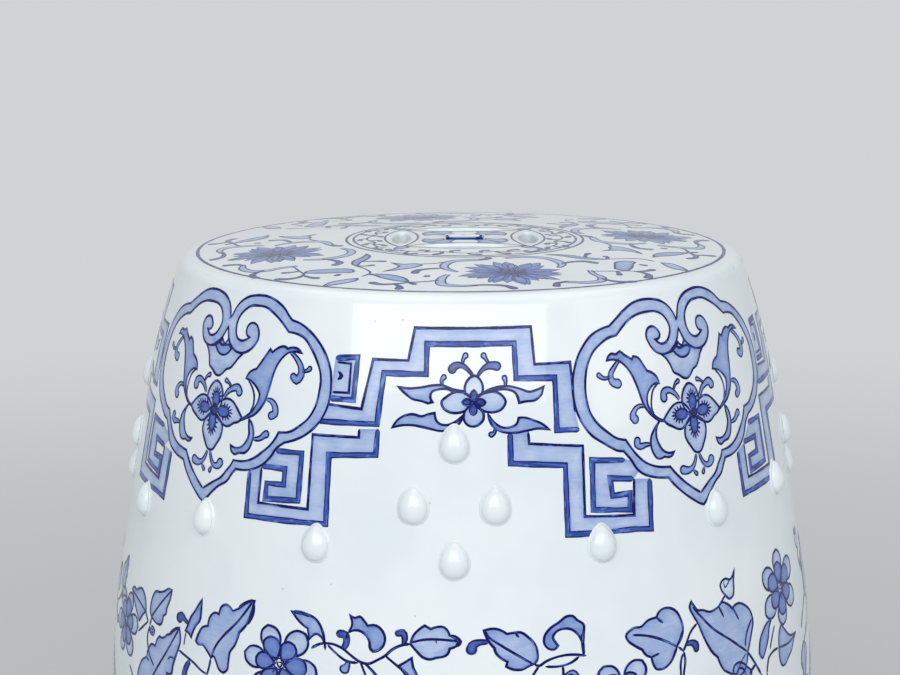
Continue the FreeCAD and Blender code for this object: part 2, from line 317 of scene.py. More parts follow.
def bare_clay(name, colour, dark_colour, grit):
    """Unglazed fired clay: matt and gritty, a little darker in clouds where the kiln's flame reached."""
    material, tree, shader = new_material(name)
    place = add_node(tree, "ShaderNodeTexCoord").outputs["Object"]
    cloud = add_node(tree, "ShaderNodeTexNoise", {"Scale": 1 / (CLAY_CLOUD * MM), "Detail": 4.0},
                     {"Vector": place})
    tone = add_node(tree, "ShaderNodeMix", {"A": linear(colour), "B": linear(dark_colour)},
                    {"Factor": cloud.outputs["Fac"]}, data_type="RGBA")
    tree.links.new(tone.outputs["Result"], shader.inputs["Base Color"])
    size, depth = grit
    relief = add_node(tree, "ShaderNodeTexNoise", {"Scale": 1 / (size * MM), "Detail": 3.0},
                      {"Vector": place})
    bump = add_node(tree, "ShaderNodeBump", {"Strength": GRIT_STRENGTH, "Distance": depth * MM},
                    {"Height": relief.outputs["Fac"]})
    tree.links.new(bump.outputs["Normal"], shader.inputs["Normal"])
    shader.inputs["Roughness"].default_value = CLAY_ROUGHNESS
    return material


def cobalt_colour(tree, tone):
    """Colour of cobalt under glaze for a tone from 0 for water to 1 for thick."""
    colours = settings().colours
    ramp = add_node(tree, "ShaderNodeValToRGB", links={"Fac": tone})
    for at in COLOUR_STOPS[1:-1]:
        ramp.color_ramp.elements.new(at)
    named = (colours.glaze_shade, colours.wash_pale, colours.wash_light, colours.wash_mid, colours.wash_dark,
             colours.ink)
    for element, at, colour in zip(ramp.color_ramp.elements, COLOUR_STOPS, named):
        element.position = at
        element.color = linear(colour)
    return ramp.outputs["Color"]


def cobalt_wash():
    """Cobalt brushed on in much water, under the glaze: cloudy and streaky, darker at its dried edges."""
    material, tree, shader = new_material("cobalt_wash_under_glaze")
    place = add_node(tree, "ShaderNodeTexCoord").outputs["Object"]
    tone = add_node(tree, "ShaderNodeAttribute", attribute_name="tone").outputs["Fac"]
    pool = add_node(tree, "ShaderNodeAttribute", attribute_name="pool").outputs["Fac"]
    brush = add_node(tree, "ShaderNodeAttribute", attribute_name="brush").outputs["Vector"]
    cloud = add_node(tree, "ShaderNodeTexNoise", {"Scale": 1 / (WASH_CLOUD * MM), "Detail": 2.0},
                     {"Vector": place})
    drawn = add_node(tree, "ShaderNodeMapping", {"Scale": WASH_STREAKS}, {"Vector": brush})
    streak = add_node(tree, "ShaderNodeTexNoise", {"Scale": 1.0, "Detail": 3.0},
                      {"Vector": drawn.outputs["Vector"]})
    total = add_node(tree, "ShaderNodeMath", {1: -INWARD_LOSS, 2: EDGE_GAIN}, {0: pool},
                     operation="MULTIPLY_ADD")
    total = add_node(tree, "ShaderNodeMath", links={0: tone, 1: total.outputs[0]}, operation="ADD")
    for layer, strength in ((cloud, CLOUD_SHIFT), (streak, STREAK_SHIFT)):
        shift = add_node(tree, "ShaderNodeMath", {1: strength, 2: -strength / 2}, {0: layer.outputs["Fac"]},
                         operation="MULTIPLY_ADD")
        total = add_node(tree, "ShaderNodeMath", links={0: total.outputs[0], 1: shift.outputs[0]},
                         operation="ADD")
    tree.links.new(cobalt_colour(tree, total.outputs[0]), shader.inputs["Base Color"])
    glaze_surface(tree, shader, place)
    return material


def cobalt_line():
    """Thick cobalt from a pointed brush: nearly black, duller than the glaze, broken where it ran dry."""
    material, tree, shader = new_material("cobalt_outline_under_glaze")
    place = add_node(tree, "ShaderNodeTexCoord").outputs["Object"]
    brush = add_node(tree, "ShaderNodeAttribute", attribute_name="brush").outputs["Vector"]
    core = add_node(tree, "ShaderNodeAttribute", attribute_name="tone").outputs["Fac"]
    parts = add_node(tree, "ShaderNodeSeparateXYZ", links={"Vector": brush})
    along = add_node(tree, "ShaderNodeMapping", {"Scale": LINE_STREAKS}, {"Vector": brush})
    dry = add_node(tree, "ShaderNodeTexNoise", {"Scale": 1.0, "Detail": 3.0},
                   {"Vector": along.outputs["Vector"]})
    thin = add_node(tree, "ShaderNodeMapRange",
                    {"From Min": DRY_FROM, "From Max": DRY_TO, "To Max": DRY_LOSS},
                    {"Value": dry.outputs["Fac"]})
    hairs = add_node(tree, "ShaderNodeMapping", {"Scale": HAIR_STREAKS}, {"Vector": brush})
    streak = add_node(tree, "ShaderNodeTexNoise", {"Scale": 1.0, "Detail": 2.0},
                      {"Vector": hairs.outputs["Vector"]})
    across = add_node(tree, "ShaderNodeMath", links={0: parts.outputs["Y"]}, operation="ABSOLUTE")
    middle = add_node(tree, "ShaderNodeMapRange", {"From Min": CORE_EDGE, "From Max": CORE_MIDDLE},
                      {"Value": across.outputs[0]})
    bare = add_node(tree, "ShaderNodeMath", {1: CORE_SLOPE, 2: CORE_START}, {0: streak.outputs["Fac"]},
                    operation="MULTIPLY_ADD")
    pale = add_node(tree, "ShaderNodeMath", links={0: core, 1: middle.outputs["Result"]},
                    operation="MULTIPLY")
    pale = add_node(tree, "ShaderNodeMath", links={0: pale.outputs[0], 1: bare.outputs[0]},
                    operation="MULTIPLY")
    tone = add_node(tree, "ShaderNodeMath", {0: 1.0}, {1: thin.outputs["Result"]}, operation="SUBTRACT")
    tone = add_node(tree, "ShaderNodeMath", links={0: tone.outputs[0], 1: pale.outputs[0]},
                    operation="SUBTRACT", use_clamp=True)
    tree.links.new(cobalt_colour(tree, tone.outputs[0]), shader.inputs["Base Color"])
    glaze_surface(tree, shader, place)
    shader.inputs["Specular IOR Level"].default_value = LINE_SPECULAR
    return material


def bare_biscuit():
    """Fired clay of the foot ring: warm pale brown with a fine grit that breaks up the light."""
    colours = settings().colours
    return bare_clay("bare_biscuit_clay", colours.biscuit, colours.biscuit_dark, BISCUIT_GRIT)


def smeared_luting():
    """Clay of the coils: paler than the foot ring and softly lumpy where fingers smeared it."""
    colours = settings().colours
    return bare_clay("smeared_luting_clay", colours.luting, colours.biscuit_dark, LUTING_GRIT)


MAKERS = {
    "glazed_porcelain_white": glazed_porcelain,
    "bare_biscuit_clay": bare_biscuit,
    "smeared_luting_clay": smeared_luting,
    "cobalt_wash_under_glaze": cobalt_wash,
    "cobalt_outline_under_glaze": cobalt_line,
}


def finish(name):
    """The material of that name, made the first time it is asked for."""
    return bpy.data.materials.get(name) or MAKERS[name]()


def mesh_piece(name, points, faces, materials):
    """A piece that rides on the stool, from its points and faces."""
    mesh = bpy.data.meshes.new(name)
    mesh.from_pydata([tuple(p) for p in points], [], faces)
    mesh.shade_smooth()
    for material in materials:
        mesh.materials.append(material)
    piece = bpy.data.objects.new(name, mesh)
    bpy.context.scene.collection.objects.link(piece)
    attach(piece, "root")
    return piece


def loose_parts(mesh):
    """The vertices of each separate solid in a mesh, whose faces share places but not vertices."""
    co = np.zeros(len(mesh.vertices) * 3)
    mesh.vertices.foreach_get("co", co)
    co = co.reshape(-1, 3)
    keys, same = np.unique(np.round(co, SAME_PLACE), axis=0, return_inverse=True)
    same = same.ravel()
    parent = list(range(len(keys)))

    def root(i):
        while parent[i] != i:
            parent[i] = parent[parent[i]]
            i = parent[i]
        return i

    for edge in mesh.edges:
        a, b = root(same[edge.vertices[0]]), root(same[edge.vertices[1]])
        parent[a] = b
    groups = {}
    for i, key in enumerate(same):
        groups.setdefault(root(key), []).append(i)
    return [co[group] for group in groups.values()]


# Mesh of a drop: points round it, and rings from its crown to its toe
DROP_AROUND = 56
DROP_RINGS = 18

# Share of its width that a drop loses towards its point, and how high it stands at its toe, at the ring above
# that and at the middle of the skirt, as shares of its height
POINT_NARROWING = 0.30
TOE_HEIGHT, ABOVE_TOE_HEIGHT, SKIRT_HEIGHT = 0.10, 0.22, 0.035

# Place of the skirt's middle ring between toe and rim, depths in m to which the rim and the heel are sunk
# into the wall, and the heel's share of the drop's size
SKIRT_MIDDLE = 0.45
RIM_SINK, HEEL_SINK = 0.0002, 0.0015
HEEL_SIZE = 0.9


def drop_rings(sizes):
    """A drop's outline as steps across and along, and each ring's share of it with its lift off the wall."""
    phi = np.arange(DROP_AROUND) * TURN / DROP_AROUND
    up = np.sin(phi)
    across = sizes.width / 2 * np.cos(phi) * np.where(up > 0, 1 - POINT_NARROWING * up ** 3, 1.0)
    along = up * np.where(up > 0, sizes.pointed_end, sizes.round_end)
    reach = np.hypot(across, along)
    spread = (reach + sizes.skirt) / reach
    shares = [math.sin(math.pi / 2 * i / DROP_RINGS) for i in range(1, DROP_RINGS + 1)]
    heights = [math.sqrt(max(0.0, 1 - share ** 2)) for share in shares]
    heights[-2:] = [max(heights[-2], ABOVE_TOE_HEIGHT), TOE_HEIGHT]
    lifts = [sizes.height * height for height in (*heights, SKIRT_HEIGHT)]
    shares += [1 + (spread - 1) * SKIRT_MIDDLE, spread, HEEL_SIZE]
    return across, along, list(zip(shares, [*lifts, -RIM_SINK, -HEEL_SINK]))


def drop_mesh(wall, solid, upper):
    """Points and faces of one glazed drop seated where its clay solid is."""
    sizes = settings().drops
    angles = np.arctan2(solid[:, 0], -solid[:, 1])
    angle = math.atan2(np.sin(angles).mean(), np.cos(angles).mean())
    sign = 1 if upper else -1
    round_side = solid[:, 2].min() if upper else solid[:, 2].max()
    middle = round_side + sign * sizes.round_end
    radius, tilt = wall.profile(middle)
    across, along, rings = drop_rings(sizes)
    points = list(wall.place(np.array([angle]), np.array([middle]), np.array([sizes.height]))[0])
    for share, lift in rings:
        heights = middle + sign * along * share * math.cos(float(tilt))
        points.extend(wall.place(angle + across * share / radius, heights, np.full(DROP_AROUND, lift))[0])
    points.extend(wall.place(np.array([angle]), np.array([middle]), np.array([-HEEL_SINK]))[0])
    faces = []
    last = 1 + (len(rings) - 1) * DROP_AROUND
    heel = len(points) - 1
    for i in range(DROP_AROUND):
        j = (i + 1) % DROP_AROUND
        faces.append((0, 1 + i, 1 + j))
        for a in range(1, last, DROP_AROUND):
            b = a + DROP_AROUND
            faces.append((a + i, b + i, b + j, a + j))
        faces.append((last + i, heel, last + j))
    return points, [face[::sign] for face in faces]


class STOOL_OT_glaze_body(Operator):
    """Glaze the fired body and leave the foot ring bare"""
    bl_idname = "stool.glaze_body"
    bl_label = "Glaze the body"

    def execute(self, context):
        finishes = {
            "glazed_porcelain_white": ("upper_shell", "lower_shell", "seat_slab"),
            "bare_biscuit_clay": ("base_ring",),
            "smeared_luting_clay": [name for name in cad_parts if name.endswith("_coil")],
        }
        for name, nodes in finishes.items():
            for node in nodes:
                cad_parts[node].data.materials[0] = finish(name)
        return {"FINISHED"}


class STOOL_OT_apply_drops(Operator):
    """Seat a glazed drop on each drop of clay"""
    bl_idname = "stool.apply_drops"
    bl_label = "Apply the drops"

    def execute(self, context):
        wall = Wall()
        names = [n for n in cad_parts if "_drop_" in n or "_cluster_" in n]
        if not names:
            raise RuntimeError("the frame has no drops")
        for name in names:
            points, faces = [], []
            for solid in loose_parts(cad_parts[name].data):
                more, more_faces = drop_mesh(wall, solid, name.startswith("upper"))
                faces += [tuple(i + len(points) for i in face) for face in more_faces]
                points += list(more)
            piece = mesh_piece("glazed_" + name, points, faces, [finish("glazed_porcelain_white")])
            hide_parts(name)
        return {"FINISHED"}


# Painting. A motif is drawn flat, in millimetres, as lines of text: what the stroke is, then its points.
# A star marks a sharp corner, a slash parts a stroke's points from its widths or from its second edge.
# On the wall x runs round the drum on a drawing cylinder and y is the height above the floor.

DRAWN_RADIUS = 155.0
DRAWN_WAIST = 228.5

# Spacing in mm of points along a stroke and inside a wash, the share of it between a wash's rows, and how
# near its points come to the outline, in spacings along the stroke
SAMPLE = 1.3
FILL_STEP = 3.0
ROW_SHARE = 0.87
EDGE_CLEARANCE = 0.7

# Lift in mm of paint off the wall, of each level over the one below and of a line over its wash
PAINT_LIFT = 0.03
LEVEL_LIFT = 0.022
LINE_LIFT = 0.010

# Width in mm of the edge where a wash pools
POOL_WIDTH = 2.4

# Unsteadiness of a hand: the share of a line's width that it takes, and its waves as mm for a radian and the
# shift from one stroke to the next
HAND_SHARE = 0.16
HAND_WAVES = ((3.7, 1.7), (8.3, 2.9), (1.9, 1.0))

# A line's tip: the square of its share of the width, and the length in mm over which it swells to the whole.
# The mitre of a corner is never longer than the half width over the limit
TIP_SHARE = 0.12
TAPER = 1.2
MITRE_LIMIT = 0.45

# Outline of a curl: width and taper in mm, and the parts of its round end
CURL_LINE = 0.8
CURL_TAPER = 0.8
CAP_PARTS = 8

# Lobe of a flower's heart: points round it, how much thinner than dark cobalt it is, and width of its outline
LOBE_POINTS = 20
LOBE_THINNING = 0.08
LOBE_LINE = 0.9

# Lashes of a lobe: how many on each side of the middle one, radians between them, where they start as a share
# of the lobe, and in mm their length, what each loses to the one before, widths and taper
LASHES = 4
LASH_TURN = 0.38
LASH_START = 0.98
LASH_LENGTH, LASH_LOSS = 2.7, 0.22
LASH_WIDTHS = (1.9, 1.1, 0.5)
LASH_TAPER = 0.4

# What keeps the brush marks of a motif's copies apart: degrees of turn for one step of their seed, and the
# steps up for an upright copy and down for one turned upside down
SEED_DEGREES = 7
SEED_FLIP = 3

# Distances are measured for this many places at a time, which keeps the arrays small
BATCH = 400

# Tone of each wash, from 0 for water to 1 for thick cobalt
TONES = {"pale": 0.13, "petal": 0.26, "light": 0.30, "leaf": 0.37, "mid": 0.46, "heart": 0.66, "spike": 0.62,
         "dark": 0.86, "night": 0.95}

# Width in mm of each kind of brushed line
LINES = {"line": 1.12, "fine": 0.75, "stem": 1.2, "vein": 1.15, "bold": 1.6, "key": 2.6, "rule": 1.3,
         "spike_edge": 0.5}


def read_points(text):
    """Points and corner marks of a stroke."""
    words = text.split()
    points = np.array([[float(v) for v in word.rstrip("*").split(",")] for word in words])
    return points, [word.endswith("*") for word in words]


def wobble(along, seed):
    """Slow unsteadiness of a hand, between about -1 and 1."""
    return sum(np.sin(along / length + seed * shift) for length, shift in HAND_WAVES) / len(HAND_WAVES)


def smooth(points, corners, closed=False):
    """Points along a smooth brush path through the given points, with its corners kept."""
    count = len(points)
    ends = count if closed else count - 1
    gaps = np.linalg.norm(np.roll(points, -1, 0) - points, axis=1)
    tangents = []
    for i in range(count):
        before, after = gaps[i - 1], gaps[i]
        if corners[i] or (not closed and i in (0, count - 1)):
            tangents.append(None)
            continue
        back = (points[i] - points[i - 1]) / before
        ahead = (points[(i + 1) % count] - points[i]) / after
        tangents.append((back * after + ahead * before) / (before + after))
    path, sharp = [], []
    for i in range(ends):
        j = (i + 1) % count
        chord = points[j] - points[i]
        start, end = tangents[i], tangents[j]
        if start is None and end is None:
            start = end = chord
        elif start is None:
            end = end * gaps[i]
            start = 1.5 * chord - 0.5 * end
        elif end is None:
            start = start * gaps[i]
            end = 1.5 * chord - 0.5 * start
        else:
            start, end = start * gaps[i], end * gaps[i]
        pieces = max(1, math.ceil(gaps[i] / SAMPLE))
        for k in range(pieces):
            t = k / pieces
            path.append((2 * t ** 3 - 3 * t ** 2 + 1) * points[i] + (t ** 3 - 2 * t ** 2 + t) * start
                        + (3 * t ** 2 - 2 * t ** 3) * points[j] + (t ** 3 - t ** 2) * end)
            sharp.append(k == 0 and tangents[i] is None)
    if not closed:
        path.append(points[-1])
        sharp.append(True)
    return np.array(path), sharp


def side_steps(path, closed):
    """For each point of a path, the step to its left that keeps a line's width round corners."""
    ahead = np.roll(path, -1, 0) - path
    if not closed:
        ahead[-1] = ahead[-2]
    ahead /= np.maximum(np.linalg.norm(ahead, axis=1), TINY)[:, None]
    behind = np.roll(ahead, 1, 0)
    if not closed:
        behind[0] = ahead[0]
    left_a = np.stack([-ahead[:, 1], ahead[:, 0]], 1)
    left_b = np.stack([-behind[:, 1], behind[:, 0]], 1)
    middle = left_a + left_b
    middle /= np.maximum(np.linalg.norm(middle, axis=1), TINY)[:, None]
    stretch = 1 / np.clip((middle * left_a).sum(1), MITRE_LIMIT, 1)
    return middle * stretch[:, None]


def inside(loops, places):
    """True for the places that lie inside an odd number of loops."""
    odd = np.zeros(len(places), bool)
    x, y = places[:, 0:1], places[:, 1:2]
    for loop in loops:
        x0, y0 = loop[:, 0], loop[:, 1]
        x1, y1 = np.roll(x0, -1), np.roll(y0, -1)
        rise = np.where(y1 == y0, TINY ** 2, y1 - y0)
        crossing = ((y0 > y) != (y1 > y)) & (x < (x1 - x0) * (y - y0) / rise + x0)
        odd ^= crossing.sum(1) % 2 == 1
    return odd


def edge_distance(loops, places):
    """Distance of each place from the nearest edge of the loops."""
    best = np.full(len(places), np.inf)
    for loop in loops:
        run = np.roll(loop, -1, 0) - loop
        length = np.maximum((run ** 2).sum(1), TINY ** 2)
        for first in range(0, len(places), BATCH):
            batch = slice(first, first + BATCH)
            away = places[batch][:, None, :] - loop[None]
            share = np.clip((away * run[None]).sum(2) / length, 0, 1)
            gap = np.linalg.norm(away - share[..., None] * run[None], axis=2).min(1)
            best[batch] = np.minimum(best[batch], gap)
    return best


class Artwork:
    """The strokes of one motif, flat, ready to be laid on the stool as often as it repeats."""

    def __init__(self, *texts, level=0):
        self.points, self.brush, self.tone, self.pool, self.lift = [], [], [], [], []
        self.faces, self.kinds = [], []
        self.count = 0
        self.strokes = 0
        self.level = level
        for text in texts:
            self.draw(text)

    def read(self, text):
        """Points of a stroke, moved to where the drawing goes, and their corner marks."""
        points, corners = read_points(text)
        c, s = math.cos(self.turn) * self.size, math.sin(self.turn) * self.size
        x, y = (points - self.pivot).T
        return np.column_stack([c * x - s * y, s * x + c * y]) + self.to, corners

    def add(self, points, brush, tone, pool, lift, faces, kind):
        self.points.append(points)
        self.brush.append(brush)
        self.tone.append(np.broadcast_to(tone, len(points)))
        self.pool.append(np.broadcast_to(pool, len(points)))
        self.lift.append(np.full(len(points), lift))
        self.faces += [tuple(int(i) + self.count for i in face) for face in faces]
        self.kinds += [kind] * len(faces)
        self.count += len(points)

    def height(self, line):
        return PAINT_LIFT + self.level * LEVEL_LIFT + (LINE_LIFT if line else 0.0)

    def wash(self, loops, tone):
        """Fills an outline, less its holes, with wash."""
        self.strokes += 1
        edge = np.concatenate(loops)
        low, high = edge.min(0), edge.max(0)
        xs = np.arange(low[0] + FILL_STEP / 2, high[0], FILL_STEP)
        ys = np.arange(low[1] + FILL_STEP / 2, high[1], FILL_STEP * ROW_SHARE)
        grid = np.array([(x + (k % 2) * FILL_STEP / 2, y) for k, y in enumerate(ys) for x in xs])
        grid = grid.reshape(-1, 2)
        grid = grid[inside(loops, grid)]
        grid = grid[edge_distance(loops, grid) > SAMPLE * EDGE_CLEARANCE]
        links, first = [], 0
        for loop in loops:
            links += [(first + i, first + (i + 1) % len(loop)) for i in range(len(loop))]
            first += len(loop)
        places = [Vector(p) for p in np.concatenate([edge, grid])]
        made, _, faces, *_ = delaunay_2d_cdt(places, links, [], 0, WELD)
        made = np.array([tuple(p) for p in made])
        faces = np.array(faces)
        faces = faces[inside(loops, made[faces].mean(1))]
        used, faces = np.unique(faces, return_inverse=True)
        faces = faces.reshape(-1, 3)
        made = made[used]
        a, b, c = (made[faces[:, i]] for i in range(3))
        turn = (b[:, 0] - a[:, 0]) * (c[:, 1] - a[:, 1]) - (b[:, 1] - a[:, 1]) * (c[:, 0] - a[:, 0])
        faces[turn < 0] = faces[turn < 0][:, ::-1]
        pool = np.clip(edge_distance(loops, made) / POOL_WIDTH, 0, 1)
        brush = np.column_stack([made, np.full(len(made), self.strokes)])
        self.add(made, brush, tone, pool, self.height(False), faces, 0)

    def line(self, path, width, closed=False, taper=TAPER, core=0.0):
        """Brushes a line of a given width, or widths, along a path."""
        self.strokes += 1
        steps = np.linalg.norm(np.roll(path, -1, 0) - path, axis=1)
        along = np.concatenate([[0], np.cumsum(steps)[:-1]])
        wide = np.broadcast_to(width, len(path)) * (1 + HAND_SHARE * wobble(along, self.strokes))
        if closed:
            path = np.concatenate([path, path[:1]])
            along = np.append(along, along[-1] + steps[-1])
            wide = np.append(wide, wide[0])
            left = side_steps(path[:-1], True)
            left = np.concatenate([left, left[:1]])
        else:
            ends = np.minimum(along, along[-1] - along)
            wide = wide * np.sqrt(np.clip(TIP_SHARE + ends / taper, 0, 1))
            left = side_steps(path, False)
        reach = left * wide[:, None] / 2
        count = len(path)
        points = np.concatenate([path - reach, path + reach])
        across = np.repeat([-1.0, 1.0], count)
        brush = np.column_stack([np.tile(along, 2), across, np.full(2 * count, self.strokes)])
        i = np.arange(count - 1)
        faces = np.column_stack([i, i + 1, i + 1 + count, i + count])
        self.add(points, brush, core, 0.0, self.height(True), faces, 1)

    def curl(self, text, widths, tone):
        """A tendril that swells to a round end, filled and outlined."""
        self.strokes += 1
        points, corners = self.read(text)
        path, _ = smooth(points, corners)
        steps = np.linalg.norm(np.diff(path, axis=0), axis=1)
        along = np.concatenate([[0], np.cumsum(steps)])
        marks = [along[np.argmin(np.linalg.norm(path - p, axis=1))] for p in points]
        wide = np.interp(along, marks, widths)
        left = side_steps(path, False) * wide[:, None] / 2
        heading = path[-1] - path[-2]
        start = math.atan2(heading[1], heading[0])
        turns = start + math.pi / 2 - np.pi * np.arange(1, CAP_PARTS) / CAP_PARTS
        cap = path[-1] + wide[-1] / 2 * np.column_stack([np.cos(turns), np.sin(turns)])
        count = len(path)
        body = np.concatenate([path - left, path, path + left, cap])
        i = np.arange(count - 1)
        strip = np.column_stack([i, i + 1, i + 1 + count, i + count])
        faces = [tuple(face) for face in np.concatenate([strip, strip + count])]
        rim = [3 * count - 1, *range(3 * count, 3 * count + len(cap)), count - 1]
        faces += [(2 * count - 1, b, a) for a, b in zip(rim, rim[1:])]
        pool = np.zeros(len(body))
        pool[count:2 * count] = np.clip(wide / 2 / POOL_WIDTH, 0, 1)
        brush = np.column_stack([body, np.full(len(body), self.strokes)])
        self.add(body, brush, tone, pool, self.height(False), faces, 0)
        self.line(np.concatenate([path + left, cap, (path - left)[::-1]]), CURL_LINE, taper=CURL_TAPER)

    def lobe(self, centre, radii, heading):
        """A dark lobe of a flower's heart with lashes on its far side."""
        turns = np.arange(LOBE_POINTS) * TURN / LOBE_POINTS
        ring = centre + np.column_stack([radii[0] * np.cos(turns), radii[1] * np.sin(turns)])
        self.wash([ring], TONES["dark"] - LOBE_THINNING)
        self.line(ring, LOBE_LINE, closed=True)
        for k in range(-LASHES, LASHES + 1):
            turn = heading + k * LASH_TURN
            way = np.array([math.cos(turn), math.sin(turn)])
            foot = centre + way * np.array(radii) * LASH_START
            tip = foot + way * (LASH_LENGTH - LASH_LOSS * abs(k))
            self.line(np.linspace(foot, tip, len(LASH_WIDTHS)), np.array(LASH_WIDTHS), taper=LASH_TAPER)

    def draw(self, text, pivot=(0, 0), to=(0, 0), turn=0.0, size=1.0):
        """Draws the strokes of a text, moved from its pivot, turned in degrees and resized."""
        self.pivot, self.to = np.array(pivot, float), np.array(to, float)
        self.turn, self.size = math.radians(turn), size
        strokes = []
        for row in text.strip().splitlines():
            if ":" in row:
                strokes.append(row.strip())
            else:
                strokes[-1] += " " + row.strip()
        for stroke in strokes:
            kind, _, rest = stroke.partition(":")
            first, _, second = rest.partition("/")
            words = kind.split()
            kind = words[0]
            base = self.level
            if len(words) > 1:
                self.level = base + int(words[1])
            self.stroke(kind, first, second)
            self.level = base

    def stroke(self, kind, first, second):
        """Draws one stroke of a kind."""
        if kind.startswith("curl"):
            tone = TONES[kind[4:] or "mid"]
            self.curl(first, self.size * np.array([float(v) for v in second.split()]), tone)
        elif kind == "strip":
            thin, thick = dense(self.read(first)[0]), dense(self.read(second)[0])
            far_end = dense(np.array([thin[-1], thick[-1]]))[1:-1]
            near_end = dense(np.array([thick[0], thin[0]]))[1:-1]
            self.wash([np.concatenate([thin, far_end, thick[::-1], near_end])], TONES["light"])
            self.line(thin, LINES["rule"])
            self.line(thick, LINES["key"], core=1.0)
        elif kind == "lobe":
            values = [float(v) for v in first.replace(",", " ").split()]
            self.lobe(np.array(values[:2]), values[2:4], math.radians(values[4]))
        elif kind == "key":
            self.line(dense(self.read(first)[0]), LINES["key"], core=1.0)
        elif kind == "block":
            self.wash([dense(self.read(first)[0], True)], TONES["light"])
        elif kind in LINES:
            self.line(smooth(*self.read(first))[0], LINES[kind])
        else:
            outline, _ = smooth(*self.read(first), closed=True)
            self.wash([outline], TONES[kind])
            self.line(outline, LINES.get(kind + "_edge", LINES["line"]), closed=True)


def dense(points, closed=False):
    """Straight runs between points, divided so that they follow the drum."""
    return smooth(points, [True] * len(points), closed)[0]


# A drawing on the wall stands upright, is mirrored in the waist or is turned upside down: signs of x and y
UPRIGHT, MIRRORED, TURNED = (1, 1), (1, -1), (-1, -1)


def on_wall(wall, points, lift, turn_deg, way):
    """Lays flat points on the drum, turned to an angle."""
    angle = math.radians(turn_deg) + way[0] * points[:, 0] / DRAWN_RADIUS
    rise = (points[:, 1] - DRAWN_WAIST) * MM
    return wall.place(angle, WAIST + way[1] * rise, lift * MM)


def on_side(wall, points, lift, turn_deg, way):
    """Lays points straight inwards onto the side of the drum, as a coin is cut."""
    angle = math.radians(turn_deg) + np.arcsin(points[:, 0] * MM / BELLY)
    return wall.place(angle, WAIST + points[:, 1] * MM, lift * MM)


def on_dome(wall, points, lift, turn_deg, way):
    """Lays flat points on the domed top, turned round its middle."""
    turn = math.radians(turn_deg)
    flat = points * MM
    x = flat[:, 0] * math.cos(turn) - flat[:, 1] * math.sin(turn)
    y = flat[:, 0] * math.sin(turn) + flat[:, 1] * math.cos(turn)
    rise = SEAT_TOP - RIM
    ball = (SEAT_RADIUS ** 2 + rise ** 2) / (2 * rise)
    out = np.stack([x, y, np.sqrt(ball ** 2 - x ** 2 - y ** 2)], -1) / ball
    base = out * ball + np.array([0, 0, SEAT_TOP - ball])
    return base + out * lift[:, None] * MM, out


def lay(name, layers, surface=on_wall):
    """One piece of paint from layers of (artwork, turn in degrees, way it stands)."""
    wall = Wall()
    places, normals, faces, kinds, brush, tone, pool = [], [], [], [], [], [], []
    total = 0
    for art, turn_deg, way in layers:
        points = np.concatenate(art.points)
        place, normal = surface(wall, points, np.concatenate(art.lift), turn_deg, way)
        places.append(place)
        normals.append(normal)
        step = way[0] * way[1]
        faces += [tuple(i + total for i in face[::step]) for face in art.faces]
        kinds += art.kinds
        seeded = np.concatenate(art.brush)
        seeded[:, 2] += turn_deg / SEED_DEGREES + SEED_FLIP * way[1]
        brush.append(seeded)
        tone += list(np.concatenate(art.tone))
        pool += list(np.concatenate(art.pool))
        total += len(points)
    piece = mesh_piece(name, np.concatenate(places), faces,
                       [finish("cobalt_wash_under_glaze"), finish("cobalt_outline_under_glaze")])
    mesh = piece.data
    mesh.polygons.foreach_set("material_index", kinds)
    for key, kind, values in (("brush", "FLOAT_VECTOR", np.concatenate(brush)), ("tone", "FLOAT", tone),
                              ("pool", "FLOAT", pool)):
        field = mesh.attributes.new(key, kind, "POINT")
        field.data.foreach_set("vector" if kind == "FLOAT_VECTOR" else "value", np.ravel(values))
    mesh.normals_split_custom_set_from_vertices([tuple(n) for n in np.concatenate(normals)])
    return piece


# Ruyi panel: a lobed frame that curls in at its cleft, x from the panel's middle
RUYI_TURNS = (-47.0, 42.2, 133.0, 223.0)

RUYI_RIM = """0.5,441 1.5,443 4,447 8.5,450 15.5,451.7 23.5,451.8 30.5,450 35.5,447.5 38.5,445 41,443.3*
    46,442.3 52,439.5 57.5,435.5 62,430.5 65,425 66.3,417 65.7,410 63.2,404 60.2,400 56.2,396.5 52,394
    45,391.5* 41,388.5 38.5,384.8 35,381.2 31,378.8 25.5,377 19,376.5* 17,374 14.5,370.5 9.5,367.5
    5.5,364 2,360.5 0,359* -1.5,359.5 -6.5,362.5 -12.5,367 -17.5,372 -19,374* -27.5,375.5 -32.5,377.5
    -35.5,380 -38,384 -41.5,388.3* -44,388.7 -47.5,390.5 -51.5,393 -56.5,396.5 -60,401 -62.5,406 -64,414
    -63.5,421 -61.5,427 -59,431.5 -56.5,434.5 -52.5,438 -46.5,440.5 -41.5,441.5* -37.5,444 -32.5,447
    -25.5,450 -19.5,450.8 -13.5,450.5 -7.5,449 -3.5,446.5 -1,443 -0.3,440.5*"""

RUYI_LEFT = """0,437* -1.5,434 -3.5,431 -6.5,428.8 -9.5,427.3 -13.5,427 -17.5,428.5 -20.5,432 -21.5,436
    -20,438.4 -17,439.2 -14,437.5 -13,435.5 -14,434 -16.5,433.5* -15.5,432.5 -13,431.3 -9.5,432 -7,434.5
    -5.8,437.5 -6.5,440.5 -9,443.5 -13,445.2 -17.5,445.5 -24.5,445 -30.5,443 -34.5,440.5 -38.5,437.5*
    -43.5,436.5 -48.5,434 -52.5,431 -55.5,426.5 -57.5,420 -57.8,412 -56.5,406 -53,401 -48.5,397 -44,394
    -40,393* -38,390 -35,386 -30.5,382 -24.5,379.5 -17.5,378.5* -15.5,376 -11.5,372 -6.5,368 -1,364.4*"""

